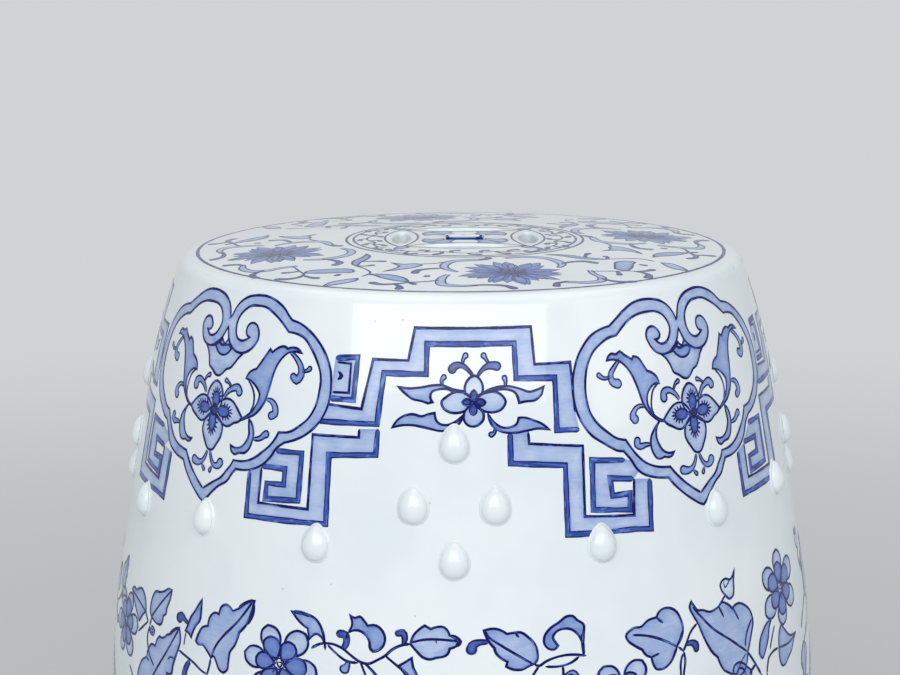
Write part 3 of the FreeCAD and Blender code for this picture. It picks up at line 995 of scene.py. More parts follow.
RUYI_RIGHT = """0,437* 1.5,433 3,430.5 5.5,428.5 8.5,427 12.5,426.5 16.5,427.5 20.5,430.5 22.3,434
    21.5,437.5 19,439.7 16.5,440 14,438.5 13.5,436.5 14.5,434.5 16.5,433.7* 15,432.8 11.5,431.7 8.5,432.5
    6.5,435 5.8,438 6.5,441.5 9,444.5 13.5,447 18.5,447.5 23.5,447.3 28.5,445.5 32.5,443.5 36.5,441
    40,438.3* 44.5,438 49.5,436.5 53.5,433 57.5,428 60.7,421 60.7,415 59.2,408 56.2,403 52.2,399.5
    47.5,396.5 41.5,395.5* 40.5,393.5 37.5,389.5 33.5,386 29.5,383 24.5,380.8 17,380* 16,378 13.5,375
    10.5,371.5 5.5,368.5 1.5,366 -1,364.4*"""

RUYI_HEART = """
light: -14.5,427* -12,425 -10,422 -8.5,418.5 -5.5,417 -2.5,415.2 0,415 2.5,416.5 4.5,418.3 7.5,419.5
    9.5,421.5 11.5,424 14.5,426.7* 11,426.6 7,427.6 4,429.4 2,431.5* 0,429.2 -2.4,431* -5,428.4
    -9.5,427.2 -12,427.2
mid 1: -6.5,427.7* -5,426 -2.5,424.5 0.5,424.2 3,425 5.5,427.3* 3.5,428.8 1,428.7 -2,428.3 -4.5,429.3
bold 1: 0,441 0.1,438 0,435.5
petal: -6,405 -5.5,408 -3.5,411 -0.5,412.7 2.5,411.5 4.5,409 5,406 4,401 0,398 -4,401
petal: 5.5,405 8.5,406 12.5,405.3 15.5,403 18.5,400 19.5,399* 17.5,397 14.5,396 12.5,394.7 9.5,394
    7,394.8 3,397 1,400 3,403.5
petal: -6,394 -6.5,390 -5,387 -3.5,385 -2,383 0.5,382 2.5,382.5 4.5,385 6.5,388 7.5,391 7.5,393.5
    4,397 0,399 -3,397.5
petal: -6.5,405 -10.5,405 -13.5,403.5 -16.5,401 -18.5,399* -16.5,397 -13.5,395.5 -10.5,394 -8.5,393.7
    -5.5,395 -2.5,397.5 -1.5,400 -3.5,403
lobe 1: 0.7,404.5 2.4,3.6 90
lobe 1: 7,400 3.9,2.4 0
lobe 1: 0,394.8 2.4,4.4 -90
lobe 1: -7.3,400 3.9,2.4 180
night 2: -2.6,400 -1,401.2 0.4,402.4 1.9,401.2 2.9,400 1.6,398.6 0.2,397.6 -1.3,398.8
curl: -7.5,406.5 -10.5,410 -14,411.5 -16.5,410.5 -16.8,408.5 / 1.2 2 2.6 3.2 3.6
curl: -10.3,411 -9,413.3 -6.8,414.5 / 0.8 1 1.8
curl: 6,406 8.5,409.3 11.5,411 14.5,411.5 15.8,410 / 1.2 2 2.6 3.2 3.6
curl: 10.5,411 8,413 6,413.7 / 0.8 1 1.8
curl: -1,381.5 -2.5,378 -4.8,375.8 -7.5,375.3 -10,375.9 / 1 1.4 2 3 3.6
curl: -4,374.7 -2.2,373 / 0.8 1.6
curl: 1,381.5 2.5,378 5,375.8 7.5,376.2 8.6,377.6 / 1 1.4 2 3 3.6
curl: 3.3,375 2.2,373 / 0.8 1.6
"""

RUYI_LEAVES = """
leaf: -20.5,399* -24,396 -26.5,392.5 -27,389.5 -26,385.5 -24,383 -22,382.7 -20,383.3* -17.5,382.7
    -15.5,383.3 -14.5,384.5* -17.5,384.5 -20.5,386 -22.5,389 -23.5,392 -23,396 -21.5,398.5*
curl: -27,389.5 -30,389.7 -32.5,389.3 -34.2,390.3 -34,392 / 1 1.8 2.6 2.8 2.8
leaf: 24,399* 24.3,396 24.8,392 23.5,389 21,386.5 17.5,385.5 14.3,386.2* 15,384 17,382.7 20,383.7
    23,384* 25.5,386 27,389.5 27.5,392 27,395.5 25.5,398*
curl: 27.5,391 30,391.2 32,392 33.5,393.3 34.7,393.9 / 1 1.6 2 2.6 3
mid: -18.5,398.5* -21.5,399.5 -25.5,402.5 -28.5,406.5 -30,411 -31.5,416 -34,421.5 -37.5,425.5
    -41.5,427.3 -45.5,427.3* -44.5,429 -42.5,430* -40,429.5 -38,430.5 -36,429 -33.5,427.5 -32,426.5*
    -31,427.8* -28.5,427 -26,423.5 -24.5,421* -22,420 -19.5,418 -18.5,415* -21.5,415 -24,413.5 -26,411
    -26.5,407 -25,403.5 -22,400.5 -19,399*
line: -23.5,401.5 -24.5,405 -24,409 -22.5,412.5 -19,415
curl: -38.5,427.3 -42,424.3 -44.5,421 -44,418.3 -41.3,417.2 / 1 1.6 2.2 3 3.8
curl: -44.5,420.5 -48,420 -50.5,421.5 / 0.8 1.2 2
curl: -28,406 -31,406.6 -34,405 -35,402.3 -34.2,401.3 / 1 1.4 2 3.4 3.6
mid: 19,398.5* 22.5,400.5 26,403.5 28,407 28.5,410.5 26.5,413 23.5,415 19,416.3* 20,418.5 22.5,420.3
    24.5,421* 27,424.5 29.5,428 31,430.2* 32.5,429* 34.5,430.5 37,431.8 39.5,432 41,431.3* 43.5,432
    46.5,431.8 49,430.2* 45.5,430.5 42.5,430 39,427.5 36.5,424 35,420 34,415 33,411 32,407.5 29.5,404
    26,401 22.5,399.5 19,398*
line: 20.5,415.5 23.5,413 25.5,409 25.5,405 24,402
curl: 43,430 47,427.5 49.8,424 50.2,421 48.2,418.8 46.3,419.8 / 1 2 2.6 3.2 3.4 3
curl: 50.5,422.8 53,423 54.5,424 / 0.8 1.2 2
curl: 33,408.8 36,408.3 38.2,406 38.5,403.3 36.6,402.2 / 1 2 2.8 3 3.2
"""

# Key fret that steps down between two panels, x from the front of its quarter
FRET_TURNS = (0.0, 90.0, 180.0, 270.0)

FRET = """
strip: -62,410 -45.5,409 -41.5,430 -25,430 -22.5,443.5 32.5,443.5 33,428 50,428 50.5,407
    / -66,402.5 -38,403 -36,424.5 -16.5,424.5 -16.5,437 24,437 24,422.5 42,422 41.5,400 52,399.5
block: -60,429.5 -49.5,430 -50,413 -61,413
key: -60,429.5 -49,430.5 -49.5,412.5 -61,412.5
line: -59,427.8* -52,427.6* -52,415.4* -60,415.2*
bold: -58,424 -56.2,422.2 -58,420.5
strip: -46,400.5 -46,397 -68,396.5 -68,364.5 -93.2,364 -93.2,379.5
    / -37.5,401 -38,390 -59.5,388.5 -59,359 -99.2,357.5 -99.7,377
block: -86,387 -73,387.5 -73.2,368 -88.7,367.3 -88.7,372.5 -80,373 -80,381 -93,380.8
key: -86.2,387.5 -72.7,388 -72.9,367.5 -89.7,366.3 -89.7,373 -80.7,373.5 -80.7,380.3 -93.2,380
strip: 28.5,400 28.8,395 53,392.5 52,362.5 75.2,360.5 76.7,376
    / 20.5,400 20.5,387 44.5,385 44,355.5 75,354.5 83.2,353.5 84.7,375
block: 57,385.5 56.5,365 73.5,363.3 74,370 65.5,370.3 65,377.5 76.5,376 82,381 73,385
key: 73,384.5 57,386 56,365 73.5,363 74,370 65.5,370 65,377.5 76.5,376
"""

SPRAY = """
leaf: -29,419* -25,418.5 -19,419 -13,420 -9,420 -5,418.5 1,417.5* -3,417 -7,418.5 -11,418.3 -14,417
    -14.5,415 -13.5,413* -15.5,412.5* -19,413.5 -22,414 -26,416.5
leaf: -31,402* -29,405 -26,407 -22,407.8 -18,407 -15,408 -12.5,408.5* -12,406 -11,404.5 -7,403.5
    -3,405 0,407.5* -1,405 -5,402 -9,401 -15,402 -22,403.2 -27,403
leaf: 36.5,418.5* 33,417.3 30,416.7 26,418 21,419.3 15,419 10,417.5* 15,418 20,418 23.5,416.5
    24.5,414.5 25,412.3* 28.5,412.8 32,413 35.5,415.5*
leaf: 38,400.5* 35,403 31,404.8 27,406 24.5,406* 23.5,403.5 21,402.3 17,402.3 13.5,404.5 11,408*
    13,403 17,400.5 22,399.8 28,400.5 33,401.2
curl: -9,420 -9.5,422 -8.5,423.4 / 0.8 1.2 2
curl: 19,419.5 19.2,421.4 18.8,422.8 / 0.8 1.2 2
curl: -7,401.5 -6.5,400 -5.3,399.2 / 0.8 1.2 2
curl: 14,402 13.5,400 12.3,399.4 / 0.8 1.2 2
petal 1: 0.5,417* -3,417.3 -7,415.5 -9.5,413 -8.5,410.5 -5,408.7 -1,408.8 1,409.5* 3,411.5 4,413.5
    3,415.5
petal 1: 9,416.5* 13,417.3 17,416 19,413 17.5,410.3 13.5,408.7 10,409* 6.5,411 5,413 6.5,415
petal 1: 0.5,408.5* 0.5,405.5 2,403.5 4.5,402.8 7,403.7 9,406 9,408.5* 7,411 4.6,412.5 2.3,411
pale 1: 1,416.5* 1,420 3,423 5.5,424 8,422 9,418.5 8.5,416.5* 6,415 4.6,413 3.4,415
dark 2: 3.4,414 4.6,413.2 5.8,414 6.2,416.3 4.9,418 3.5,416.5
dark 2: 3.8,412.9 2.6,414.3 0.8,414.1 -0.3,412.9 1,411.7 2.8,411.9
dark 2: 5.5,412.9 6.8,414.3 8.8,414.1 10,412.9 8.6,411.6 6.6,411.8
dark 2: 3.7,412 3,410.3 3.6,408.3 4.6,407.8 5.6,408.4 6,410.3 5.2,412
curldark: 4.8,423.5 2.5,426.3 -0.5,428.3 -3.5,428 -4.8,426.8 / 0.8 1.2 1.8 3 3.4
curl: 0,428.6 0.3,431 1.3,432.3 / 0.8 1.2 2.2
curldark: 6.5,423.5 9,426.5 12,428 15.5,427.8 / 0.8 1.4 2.6 3.4
curl: 12,428.6 10.5,431 9.6,432.2 / 0.8 1.2 2.2
"""


def ruyi_panel():
    """The frame with its curls, the hanging shield, the flower and its leaves."""
    art = Artwork(level=2)
    rim, _ = smooth(*read_points(RUYI_RIM), closed=True)
    left, _ = smooth(*read_points(RUYI_LEFT))
    right, _ = smooth(*read_points(RUYI_RIGHT))
    art.wash([rim, np.concatenate([left, right[-2:0:-1]])], TONES["light"])
    art.line(rim, LINES["line"], closed=True)
    art.line(left, LINES["line"])
    art.line(right, LINES["line"])
    art.level = 0
    art.draw(RUYI_HEART)
    art.draw(RUYI_LEAVES)
    return art


def lay_border(name, art, turns):
    """Lays a border's drawing round the upper half, and mirrored round the lower one."""
    for half, way in (("upper_", UPRIGHT), ("lower_", MIRRORED)):
        lay(half + name, [(art, turn, way) for turn in turns])


class STOOL_OT_paint_ruyi(Operator):
    """Paint the four lobed panels of each half"""
    bl_idname = "stool.paint_ruyi"
    bl_label = "Paint the ruyi panels"

    def execute(self, context):
        lay_border("ruyi_panels", ruyi_panel(), RUYI_TURNS)
        return {"FINISHED"}


class STOOL_OT_paint_fret(Operator):
    """Paint the key fret and the sprays between the panels"""
    bl_idname = "stool.paint_fret"
    bl_label = "Paint the frets and sprays"

    def execute(self, context):
        lay_border("frets_and_sprays", Artwork(FRET, SPRAY), FRET_TURNS)
        return {"FINISHED"}


# Turns in degrees of the right and left sides
SIDE_TURNS = (90.0, 270.0)

# Vine band round the waist, x from the front. Each drawing keeps the place where it was first drawn,
# and is moved from its pivot to its places: x, y, turn in degrees and size.
LEAF_FOLDED = """
leaf: -60,304* -57,306 -54,305.5 -50,307.5 -47,308 -44,306.5 -41.5,303.5 -40,299* -42,298 -44,296
    -46.5,293* -51,296.5 -54,299 -57,302
line: -60,304 -50,302 -40,299
vein: -46.5,292.5 -44,296 -41,298.8
stem: -40,299 -38.5,297 -37,295.5
"""

LEAF_SMALL = """
leaf: -19.5,315* -22,315 -25.5,313 -29.5,311.5 -32.5,311 -35,308 -36,304.5 -35.5,300 -34,298.5*
    -31,297.5 -28,297 -25.5,297.5 -24,302* -22,303.5 -22,306* -20,311
vein: -34,299 -28,306 -20,314.5
stem: -34,298 -34.6,296 -35,294
curl: -35,293.8 -33.8,291.6 -31.5,291.2 -30.8,293 -32.4,293.9 / 0.8 1 1.2 1.4 1.6
"""

LEAF_TALL = """
leaf: -11,300* -14,298.5 -18,295 -19.5,294.5* -23,292 -25.5,292* -27.5,289.5 -28.5,286.5* -31.5,286.5
    -34.5,283 -35.5,279* -39.5,276.5 -42,273* -43.5,268 -41.5,262.5 -36.5,260.5 -31,262 -28,266* -24,265
    -20,268 -17.8,272.5 -17.5,277* -14,278 -13.5,281 -12.5,285* -10.5,290* -9.5,295
vein: -11,299.5 -18,288 -28,273.5 -34,264 -37,260
bold: -17.6,295.2 -14,298.5 -11.2,300
line: -17.5,283.5 -15,285.5 -13,285
line: -35.5,279 -33,278
stem: -37,260 -39,256 -40,252
"""

LEAF_NARROW = """
mid: 2,316* 0,313 -2,309.5 -4,306.5 -5,303.5 -6.5,300* -4.5,299.5 -2.5,298* 0,304 2,306.5 2.3,311
curldark: -5.5,303.4 -8,304.8 -10,305.6 -11.4,304.6 / 1 1.8 3.2 4.2
fine: -6,299.5 -6.6,296 -6.8,293
"""

LEAF_JAGGED = """
leaf: 30,321.5* 27,320 24,317 20.5,315* 18.5,316.6 16.5,317 14.5,316 13,312* 11,312.3 8.5,310.5
    7.3,305.5* 4,304 2,300.5 0.8,297* 2.5,296 5,296.5 8,294.5 10.7,292* 11.8,293 14,290.5 15.5,288
    18,287 20,288.5 20.5,293 21,297 23,300 25,306.5* 28,310 30,315 31.5,321.5*
vein: 10.7,292.5 13,298 17,303.5 23,310 30.5,321
bold: 30.9,321 31.2,316 28.6,310.5
bold: 23.5,316.8 27.6,320.2 30.2,321.4
stem: 10.5,291.5 10,288 9,284
"""

LEAF_HOOKED = """
leaf: -71.7,320* -66,320 -60.5,318 -57.5,313.5 -56.3,308* -57.5,310.5 -60,312 -63,309.6* -64,313.8*
    -67,315.5
stem: -56.3,308.5 -56,306.5 -56,308
bold: -71.4,319.9 -67,320 -63.2,319
"""

ACANTHUS = """
mid: -46,321.5* -44,320.5 -42,321.3 -40,319.5 -38.5,317.7* -35,318 -32.5,316 -31.3,313 -32,309.5
    -34,307.5 -36,307 -37.3,308.5 -37.5,311 -39,313.5 -42,315.3 -45,315 -46.5,314* -45,318
curldark: -48.3,307 -47,310.5 -47.8,313 -49.8,313.2 / 1.8 2.2 2.6 3
vein: -46.5,314.5 -47.3,311
"""

LEAF_OVAL = """
light: -21,311* -20,314.5 -17.5,317.5 -15.5,319* -13,317.6* -11.5,318.3 -8,318.5 -5.5,315* -3,314
    -1.5,312.5* -3,310.5 -5.5,309.5* -6.5,307 -11,305.5* -13,304.8 -16,305.5 -18.5,308
vein: -21,311.5 -16,313 -11,313.3 -6,313 -2,312.5
bold: -5.4,315 -2.8,313.9 -1.6,312.4 -3.4,310.3
fine: -11,313 -10.8,311.6
"""

LEAF_ROUND = """
leaf: 8,317* 11.5,317.7 14.5,317 17,315.3* 19.5,315.6 22.5,315.7 25.5,313.5 28,310.5 29,307 28.5,303
    27.5,302* 25,301 23,300 19,300.2 16.5,301.5* 17,303.5* 14,305.5 12.5,307.5 12,309.5* 10,312
vein: 8.4,317 9,315.5 14,311 20,306.8 27,302
vein: 20.4,315.4 21.8,313.6
curldark: 9.5,312 6,312 3.6,310.8 3,309 / 1.4 2.2 3.2 3.8
"""

COMMA = """
mid: 47.8,308* 48.3,313 48.5,317 46,319 44,321 41.5,321 38.5,319 34.5,316.5 32,313 32,310 33.5,308
    36,307.5 37.5,309* 36.5,310.5 35.5,312.5 37,315 40,316 43,315.5 45.5,313.5 47,311
bold: 47.5,313 47.8,308 48,304
"""

LEAF_ROLLED = """
leaf: -54,307* -55,309.5 -51.5,312.3 -47.5,312.5 -44.5,314.5 -40,315.2* -39,317 -36.5,318.3 -33,318
    -30,316 -28,312 -27.3,308 -28.5,304 -31,301* -33,297 -35.5,294 -38.5,292.5 -42,293 -43.5,296
    -44,298.5* -46.5,300 -48,302.5* -51,304.5
vein: -40,315 -37,312.3
line: -44,298.5 -40,299.5
vein: -52,309.5 -46,308.3 -40,306 -31,300.5
fine: -28,307 -29.6,303.6 -31.5,301
fine: -35,294.3 -33.4,297 -32,300
stem: -30.5,300.5 -29,299 -28,298
"""

LEAF_IVY = """
leaf: -21.5,318.5* -20,316 -18.5,314* -15.5,313.5 -12,312 -6,313* -4,314.3 -1.5,313.5 2.5,310* 4,311
    7,311.3 11,309.5 14.5,306 15.8,302 13,294 10,288* 8,282 5.5,279.5 2,279.3 0,280.3 -3,282 -6,284*
    -8,287 -9.5,291* -12,293.5 -15,298.5 -17,303 -19,308.5 -21,312 -22.5,317
vein: -6,313 -3.5,307.5
vein: 3,310 6,304
vein: -21,316 -10,303.5 -2,297.5 9.5,288.5
line: 15,302 10,296 8.5,291
fine: 2,280 5,285 9,288
stem: 10,288 14,282.5 18.5,275.5
"""

BUD = """
stem: -6,313 -3.5,315 -1,317
pale: -1,317* -3,319.5 -3.5,322 -2,323.5 0.5,324 3,323 7,326.5* 5.5,322 5,318 4,315.5 1.5,314.7
fine: -1,323 -0.8,320.5 3.5,323.5
"""

LEAF_BLADE = """
mid: 18.5,285* 20.5,291.5 23.5,294.5 27,296.7 31,297* 28.5,294 27,290 24.5,286 20.5,282
"""

LEAF_HEART = """
leaf: 36,282* 37.5,289 40.5,292* 44,288 48,284.5 57,282.5* 54,280.5 50,276.5 45.5,274.5 41,272.3
    38,273 36.3,276
vein: 36,282.3 45,281 57,282
"""

# x of the two drawings made 45 degrees to the left and right of the front
LEFT_X, RIGHT_X = -121.7, 121.7

VINE_STEMS = """
stem: -62,305.5 -58,308 -53,308.5 -48.5,307 -45,304.5 -41,302 -38,301.5 -34,303.5 -31,305.5 -28,308.5
    -24,310.5 -21,311
line: -55,308 -51,304.5 -47,302 -42,301.5
line: -31,305.5 -28,303 -25.5,301 -22,298 -19,292 -16,286
curl: -46,302 -46.4,300 -47.4,298.4 / 1 2 3.6
curldark: -24,310.5 -23.3,313 -24.3,315.6 -26,315.3 / 1 1.8 2.4 2.2
leaf: -25.5,301.5* -23,303.2 -20.5,305* -19.8,301 -18.5,297.5 -21.5,296.5*
line: -41,302 -39,297 -37.5,291 -34,283 -30,276
line: -39.5,302 -35,297.5 -31,292 -27.5,284 -25,277
stem: 27.5,302 29.5,301 32,302.5 36,304 42,304.7 49,303.5
line: 32,300.5 38,300.2 42,301 46,303.5
line: 29.5,301 27.5,298 25,294.5 20,289 16,281
line: 39,300.2 39.2,297 38,291 33,284 30,276
curl: 38.8,294 41,296.6 43,297 44.5,294.6 / 0.9 1.2 1.8 2.4
line: 93.7,298 94.2,294 93.2,289 92,283 93,274
line: 93.2,297 91.7,292.5 91.5,288.5 90,283 88,275
line: 93.7,298 95.7,301.5 98.7,306 102.2,308.5
curldark: 95.2,300.5 98.2,300.8 100.2,299.5 100.5,297.6 / 1 2.2 3 2.4
bold: 131.7,278 136.7,281
stem: 145.2,274 146.2,277.5 147.7,280.5 150.7,282 156.7,282.3
line: 149.2,284 151.7,288.5 155.2,293.5
stem: 140.2,275.5 143,269 144,262 140,252 133,244 126,239 117,240
line: 145.2,274 146.5,267 151,260 158,256
line: -112.7,284 -116,284.7 -121,287 -128,289 -131.7,290
stem: -112.7,284 -110,277 -106,271 -100,267 -92,266 -85,269 -80,279
line: -110,277 -112,268 -117,261 -122,254
curldark: -123.7,287 -125.5,284.5 -126.7,281 -126.3,277 / 1.6 2.2 2.6 2.8
stem: -161.7,252 -165,258 -170,264 -176,269
line: -161.7,252 -155,246 -147,243 -143,241
line: -158.7,295.5 -163,292 -168,288
line: -156.7,294 -158,289 -156,283 -150,277
curl: -92,266 -93,261 -90,257 -86,257.6 / 1 1.6 2.4 3.2
stem: -14,275 -5,281 4,281 10,277 16,281 22,284
line: 10,277 15,269 24,262 34,259
curldark: 4,281 6,286 4,290 0.8,290 / 1 1.6 2.4 3.4
stem: -38,259 -48,254 -56,255 -62,261 -66,270 -70,279
line: -56,255 -62,250 -68,247
stem: 112,257 118,264 121,271 119,276
stem: 80,255 70,252 61,256 56,263 55,272 58,279
line: 70,252 66,246 60,242
curl: 56,263 51,263 48,259.6 50,256.4 / 1 1.6 2.4 3.4
stem: -144,238 -152,236 -160,229.5
stem: -7,254 2,246 6,238 4,228.5
stem: 100,242 98,236 99,228.5
"""

# Flowers as x, y, size and turn in degrees, and for each leaf its drawing, pivot and places
VINE_FLOWERS = ((-185.7, 287, 0.95, 12), (-76, 296.5, 1.0, -5), (63.7, 283, 1.0, 0),
                (165.7, 308.5, 1.05, 28), (-22, 262, 1.05, 25), (96, 258, 1.0, 40), (-128, 238, 1.0, 10))

VINE_PLACES = (
    (LEAF_FOLDED, (-37, 295.5), ((-37 + LEFT_X, 295.5, 0, 1), (34, 259, 100, 1.05), (158, 256, 205, 1.1))),
    (LEAF_SMALL, (-35, 294), ((-35 + LEFT_X, 294, 0, 1), (-122, 254, 62, 0.9))),
    (LEAF_TALL, (-37, 260), ((-37 + LEFT_X, 260, 0, 1), (-62, 250, -205, 0.85))),
    (LEAF_NARROW, (-6.8, 293), ((-6.8 + LEFT_X, 293, 0, 1), (60, 242, 150, 1.1))),
    (LEAF_JAGGED, (9, 284), ((9 + LEFT_X, 284, 0, 1), (16, 281, -150, 0.9))),
    (LEAF_HOOKED, (-56.3, 308), ((-56.3, 308, 0, 1), (-52, 254.5, -150, 1.1))),
    (ACANTHUS, (-47.5, 307), ((-47.5, 307, 0, 1), (150, 261, 190, 1.0))),
    (LEAF_OVAL, (-21, 311), ((-21, 311, 0, 1), (58, 279, -172, 0.8), (-147, 243, -110, 0.9))),
    (LEAF_ROUND, (27.5, 302), ((27.5, 302, 0, 1),)),
    (COMMA, (48, 304), ((48, 304, 0, 1), (121, 271, -75, 0.8))),
    (LEAF_ROLLED, (-28, 298), ((-28 + RIGHT_X, 298, 0, 1),)),
    (LEAF_IVY, (18.5, 275.5), ((18.5 + RIGHT_X, 275.5, 0, 1),)),
    (BUD, (-6, 313), ((-6 + RIGHT_X, 313, 0, 1),)),
    (LEAF_BLADE, (20.5, 282), ((20.5 + RIGHT_X, 282, 0, 1), (-160, 229.5, 30, 1.0))),
    (LEAF_HEART, (36, 282), ((36 + RIGHT_X, 282, 0, 1),)),
)

# Spray over each side coin, x from the coin's middle, and its leaves
SIDE_SPRAY = """
stem: -54,281 -46,288.5 -38,292 -31,289.5 -24,286 -16,286 -9,290.5 -3,297
stem: 4,298 12,291.5 20,288 30,288.5 37,291.5 42,296
stem: -38,291.5 -36,297 -37,303 -40,307.5 -42,312 -40,316
stem: -31,289.5 -33,284 -38,279 -45,276 -50,273
line: 20,288 19,283.5 15,280.5 10,281.5 10.5,284.5 13,284.5
line: -24,286 -22,281.5 -17,280.8 -15.5,283.6
curl: -37,303 -34.5,306.5 -36,309 -37.8,307 / 0.8 1 1.4 2
curldark: 30,288.5 32,283.5 36,280.5 39.5,282 / 1 1.6 2.6 3.2
curldark: 12,291.5 13.5,297 17,299.5 20.4,297.4 / 1 1.6 2.4 3
pale: -40,315.5* -42.6,318 -43.4,322 -42.6,326.5* -40.6,323 -37.4,325.8* -36.6,321.5 -37.8,317.8
"""

SIDE_PLACES = (
    (LEAF_JAGGED, (9, 284), ((-25, 287, 31, 0.76),)),
    (LEAF_OVAL, (-21, 311), ((25, 292, 62, 0.85),)),
    (LEAF_SMALL, (-35, 294), ((42, 296, 18, 0.8),)),
    (LEAF_BLADE, (20.5, 282), ((46, 293.5, -62, 0.9),)),
    (LEAF_ROUND, (27.5, 302), ((-50, 273, 118, 0.8),)),
)
SIDE_FLOWER = (0, 308.5, 0.95, 30)

# Petals of a peony, along x from its middle, and its heart
OUTER_PETAL = "petal: 6,0* 7.8,-3.3 11.2,-4.9 14.9,-4.2 17.5,-0.8* 16.3,2.6 12.6,4.5 8.4,3.5"
INNER_PETAL = "heart 1: 2.2,0* 4,-1.9 6.6,-3.7 9.7,-3.4 11.7,-0.8* 11.1,2.4 8.5,3.8 5,2.7 3.2,1.2"
HEART_SCRIBBLE = """
fine 1: 2.4,0 1.2,2.2 -1.2,2.2 -2.5,0 -1.2,-2.2 1.4,-2 2.4,0
fine 1: -1.6,1.4 0.4,-1.4 1.4,0.8 -0.8,0.6
fine 1: 2.2,1.6 4.4,3
fine 1: -1.6,-2.4 -2.6,-4.6
"""


# Petals in a ring of a peony, the share by which their sizes vary, how fast those of the outer and the inner
# ring do, and degrees by which the inner ring is turned
RING_PETALS = 6
PETAL_VARIES = 0.05
OUTER_PACE, INNER_PACE = 2.1, 3.3
INNER_TURN = 3


def paint_flower(art, x, y, size, turn):
    """A peony seen from the front: six pale petals, six dark ones and a scribbled heart."""
    rings = ((OUTER_PETAL, 0, OUTER_PACE, x), (INNER_PETAL, INNER_TURN, INNER_PACE, y))
    for petal, shift, pace, phase in rings:
        for k in range(RING_PETALS):
            unsteady = size * (1 + PETAL_VARIES * math.sin(pace * k + phase))
            art.draw(petal, to=(x, y), turn=turn + 360 / RING_PETALS * k + shift, size=unsteady)
    art.draw(HEART_SCRIBBLE, to=(x, y), turn=turn, size=size)


def growth(stems, leaves, flowers):
    """Stems with their leaves and flowers."""
    art = Artwork(stems)
    for text, pivot, places in leaves:
        for x, y, turn, size in places:
            art.draw(text, pivot=pivot, to=(x, y), turn=turn, size=size)
    for x, y, size, turn in flowers:
        paint_flower(art, x, y, size, turn)
    return art


class STOOL_OT_paint_vine(Operator):
    """Paint the vine round the waist, between the side coins"""
    bl_idname = "stool.paint_vine"
    bl_label = "Paint the vine band"

    def execute(self, context):
        art = growth(VINE_STEMS, VINE_PLACES, VINE_FLOWERS)
        for name, turn in (("front_vine_band", 0.0), ("rear_vine_band", 180.0)):
            lay(name, [(art, turn, way) for way in (UPRIGHT, TURNED)])
        art = growth(SIDE_SPRAY, SIDE_PLACES, [SIDE_FLOWER])
        lay("side_vine_sprays", [(art, turn, way) for turn in SIDE_TURNS for way in (UPRIGHT, TURNED)])
        return {"FINISHED"}


# Pierced coin, from its middle: a patch between the square and two slots, and a quarter of the scroll
COIN_PATCH = """
mid: 10.6,-5.4 14.5,-7 19.3,-5.6* 20.6,-11 19,-16.5 16.5,-19* 11,-20.6 5.6,-19.3* 7,-14.5 5.4,-10.6*
    10.2,-10.2*
bold: 11,-11 15,-14.6 17.4,-17.6
"""

COIN_SCROLL = """
line: -31,-37.5 -26,-42 -19,-44.5 -12,-43.5 -6,-46.5 1,-48 8,-46.5 14,-43.5 20,-44 27,-41.5 31,-37.5
curldark: -26,-42 -28.5,-45.5 -27,-48.4 -24,-48 / 0.8 1.4 2 2.6
curldark: -29,-39.5 -34,-39 -36.5,-35.5 / 0.8 1.6 2.6
curldark: -19,-44.5 -17.6,-40.8 -21,-39.3 / 0.8 1.5 2.4
curldark: -12,-43.5 -11,-47.5 -14,-50.3 / 0.8 1.5 2.6
curldark: -6,-46.5 -6.4,-42.2 -3.5,-41 / 0.8 1.6 2.4
curldark: 1,-48 3,-51 6.5,-51.2 / 0.8 1.5 2.4
curldark: 8,-46.5 7.5,-42.6 10.5,-41 / 0.8 1.4 2.2
curldark: 14,-43.5 16.5,-47 20,-48.4 / 0.8 1.5 2.6
curldark: 20,-44 21,-40.3 24.5,-38.5 / 0.8 1.4 2.4
curldark: 27,-41.5 31,-43 34,-40.5 / 0.8 1.6 2.6
mid: 26.5,-28* 30,-27 33.5,-29.5 36,-33.5* 32,-33.5 28.5,-32
"""

# Corner radius and edge rounding of the square hole, in mm, and the depths between which its walls are
# painted. The side coins open in a curved wall, so their paint starts lower
SQUARE_CORNER = 2.5
EDGE_ROUND = 1.2
SQUARE_DEPTH = 9.0
TOP_PAINT_START = 0.3
SIDE_PAINT_START = 1.8

# Gap in mm that the brush leaves round a slot, points along a slot's edge, radii of the double ring, and the
# distance of the slots for which the patch, the scroll and the rings are drawn
SLOT_GAP = 3.4
SLOT_POINTS = 40
COIN_RINGS = (54.5, 58.0)
COIN_REACH = 29.0

# A pierced coin as side of its square, length and width of its slots and the distances of its front and side
# slots, in mm, and how far the top's coin lies to the right of the axis
TOP_COIN = (18.0, 44.0, 9.5, 27.0, 31.0)
SIDE_COIN = (18.0, 38.0, 11.0, 25.0, 25.0)
TOP_COIN_SHIFT = 2.0


def circle(radius, centre=(0.0, 0.0)):
    """Points round a circle, about a sample apart."""
    count = math.ceil(TURN * radius / SAMPLE)
    turns = np.arange(count) * TURN / count
    return np.array(centre) + radius * np.column_stack([np.cos(turns), np.sin(turns)])


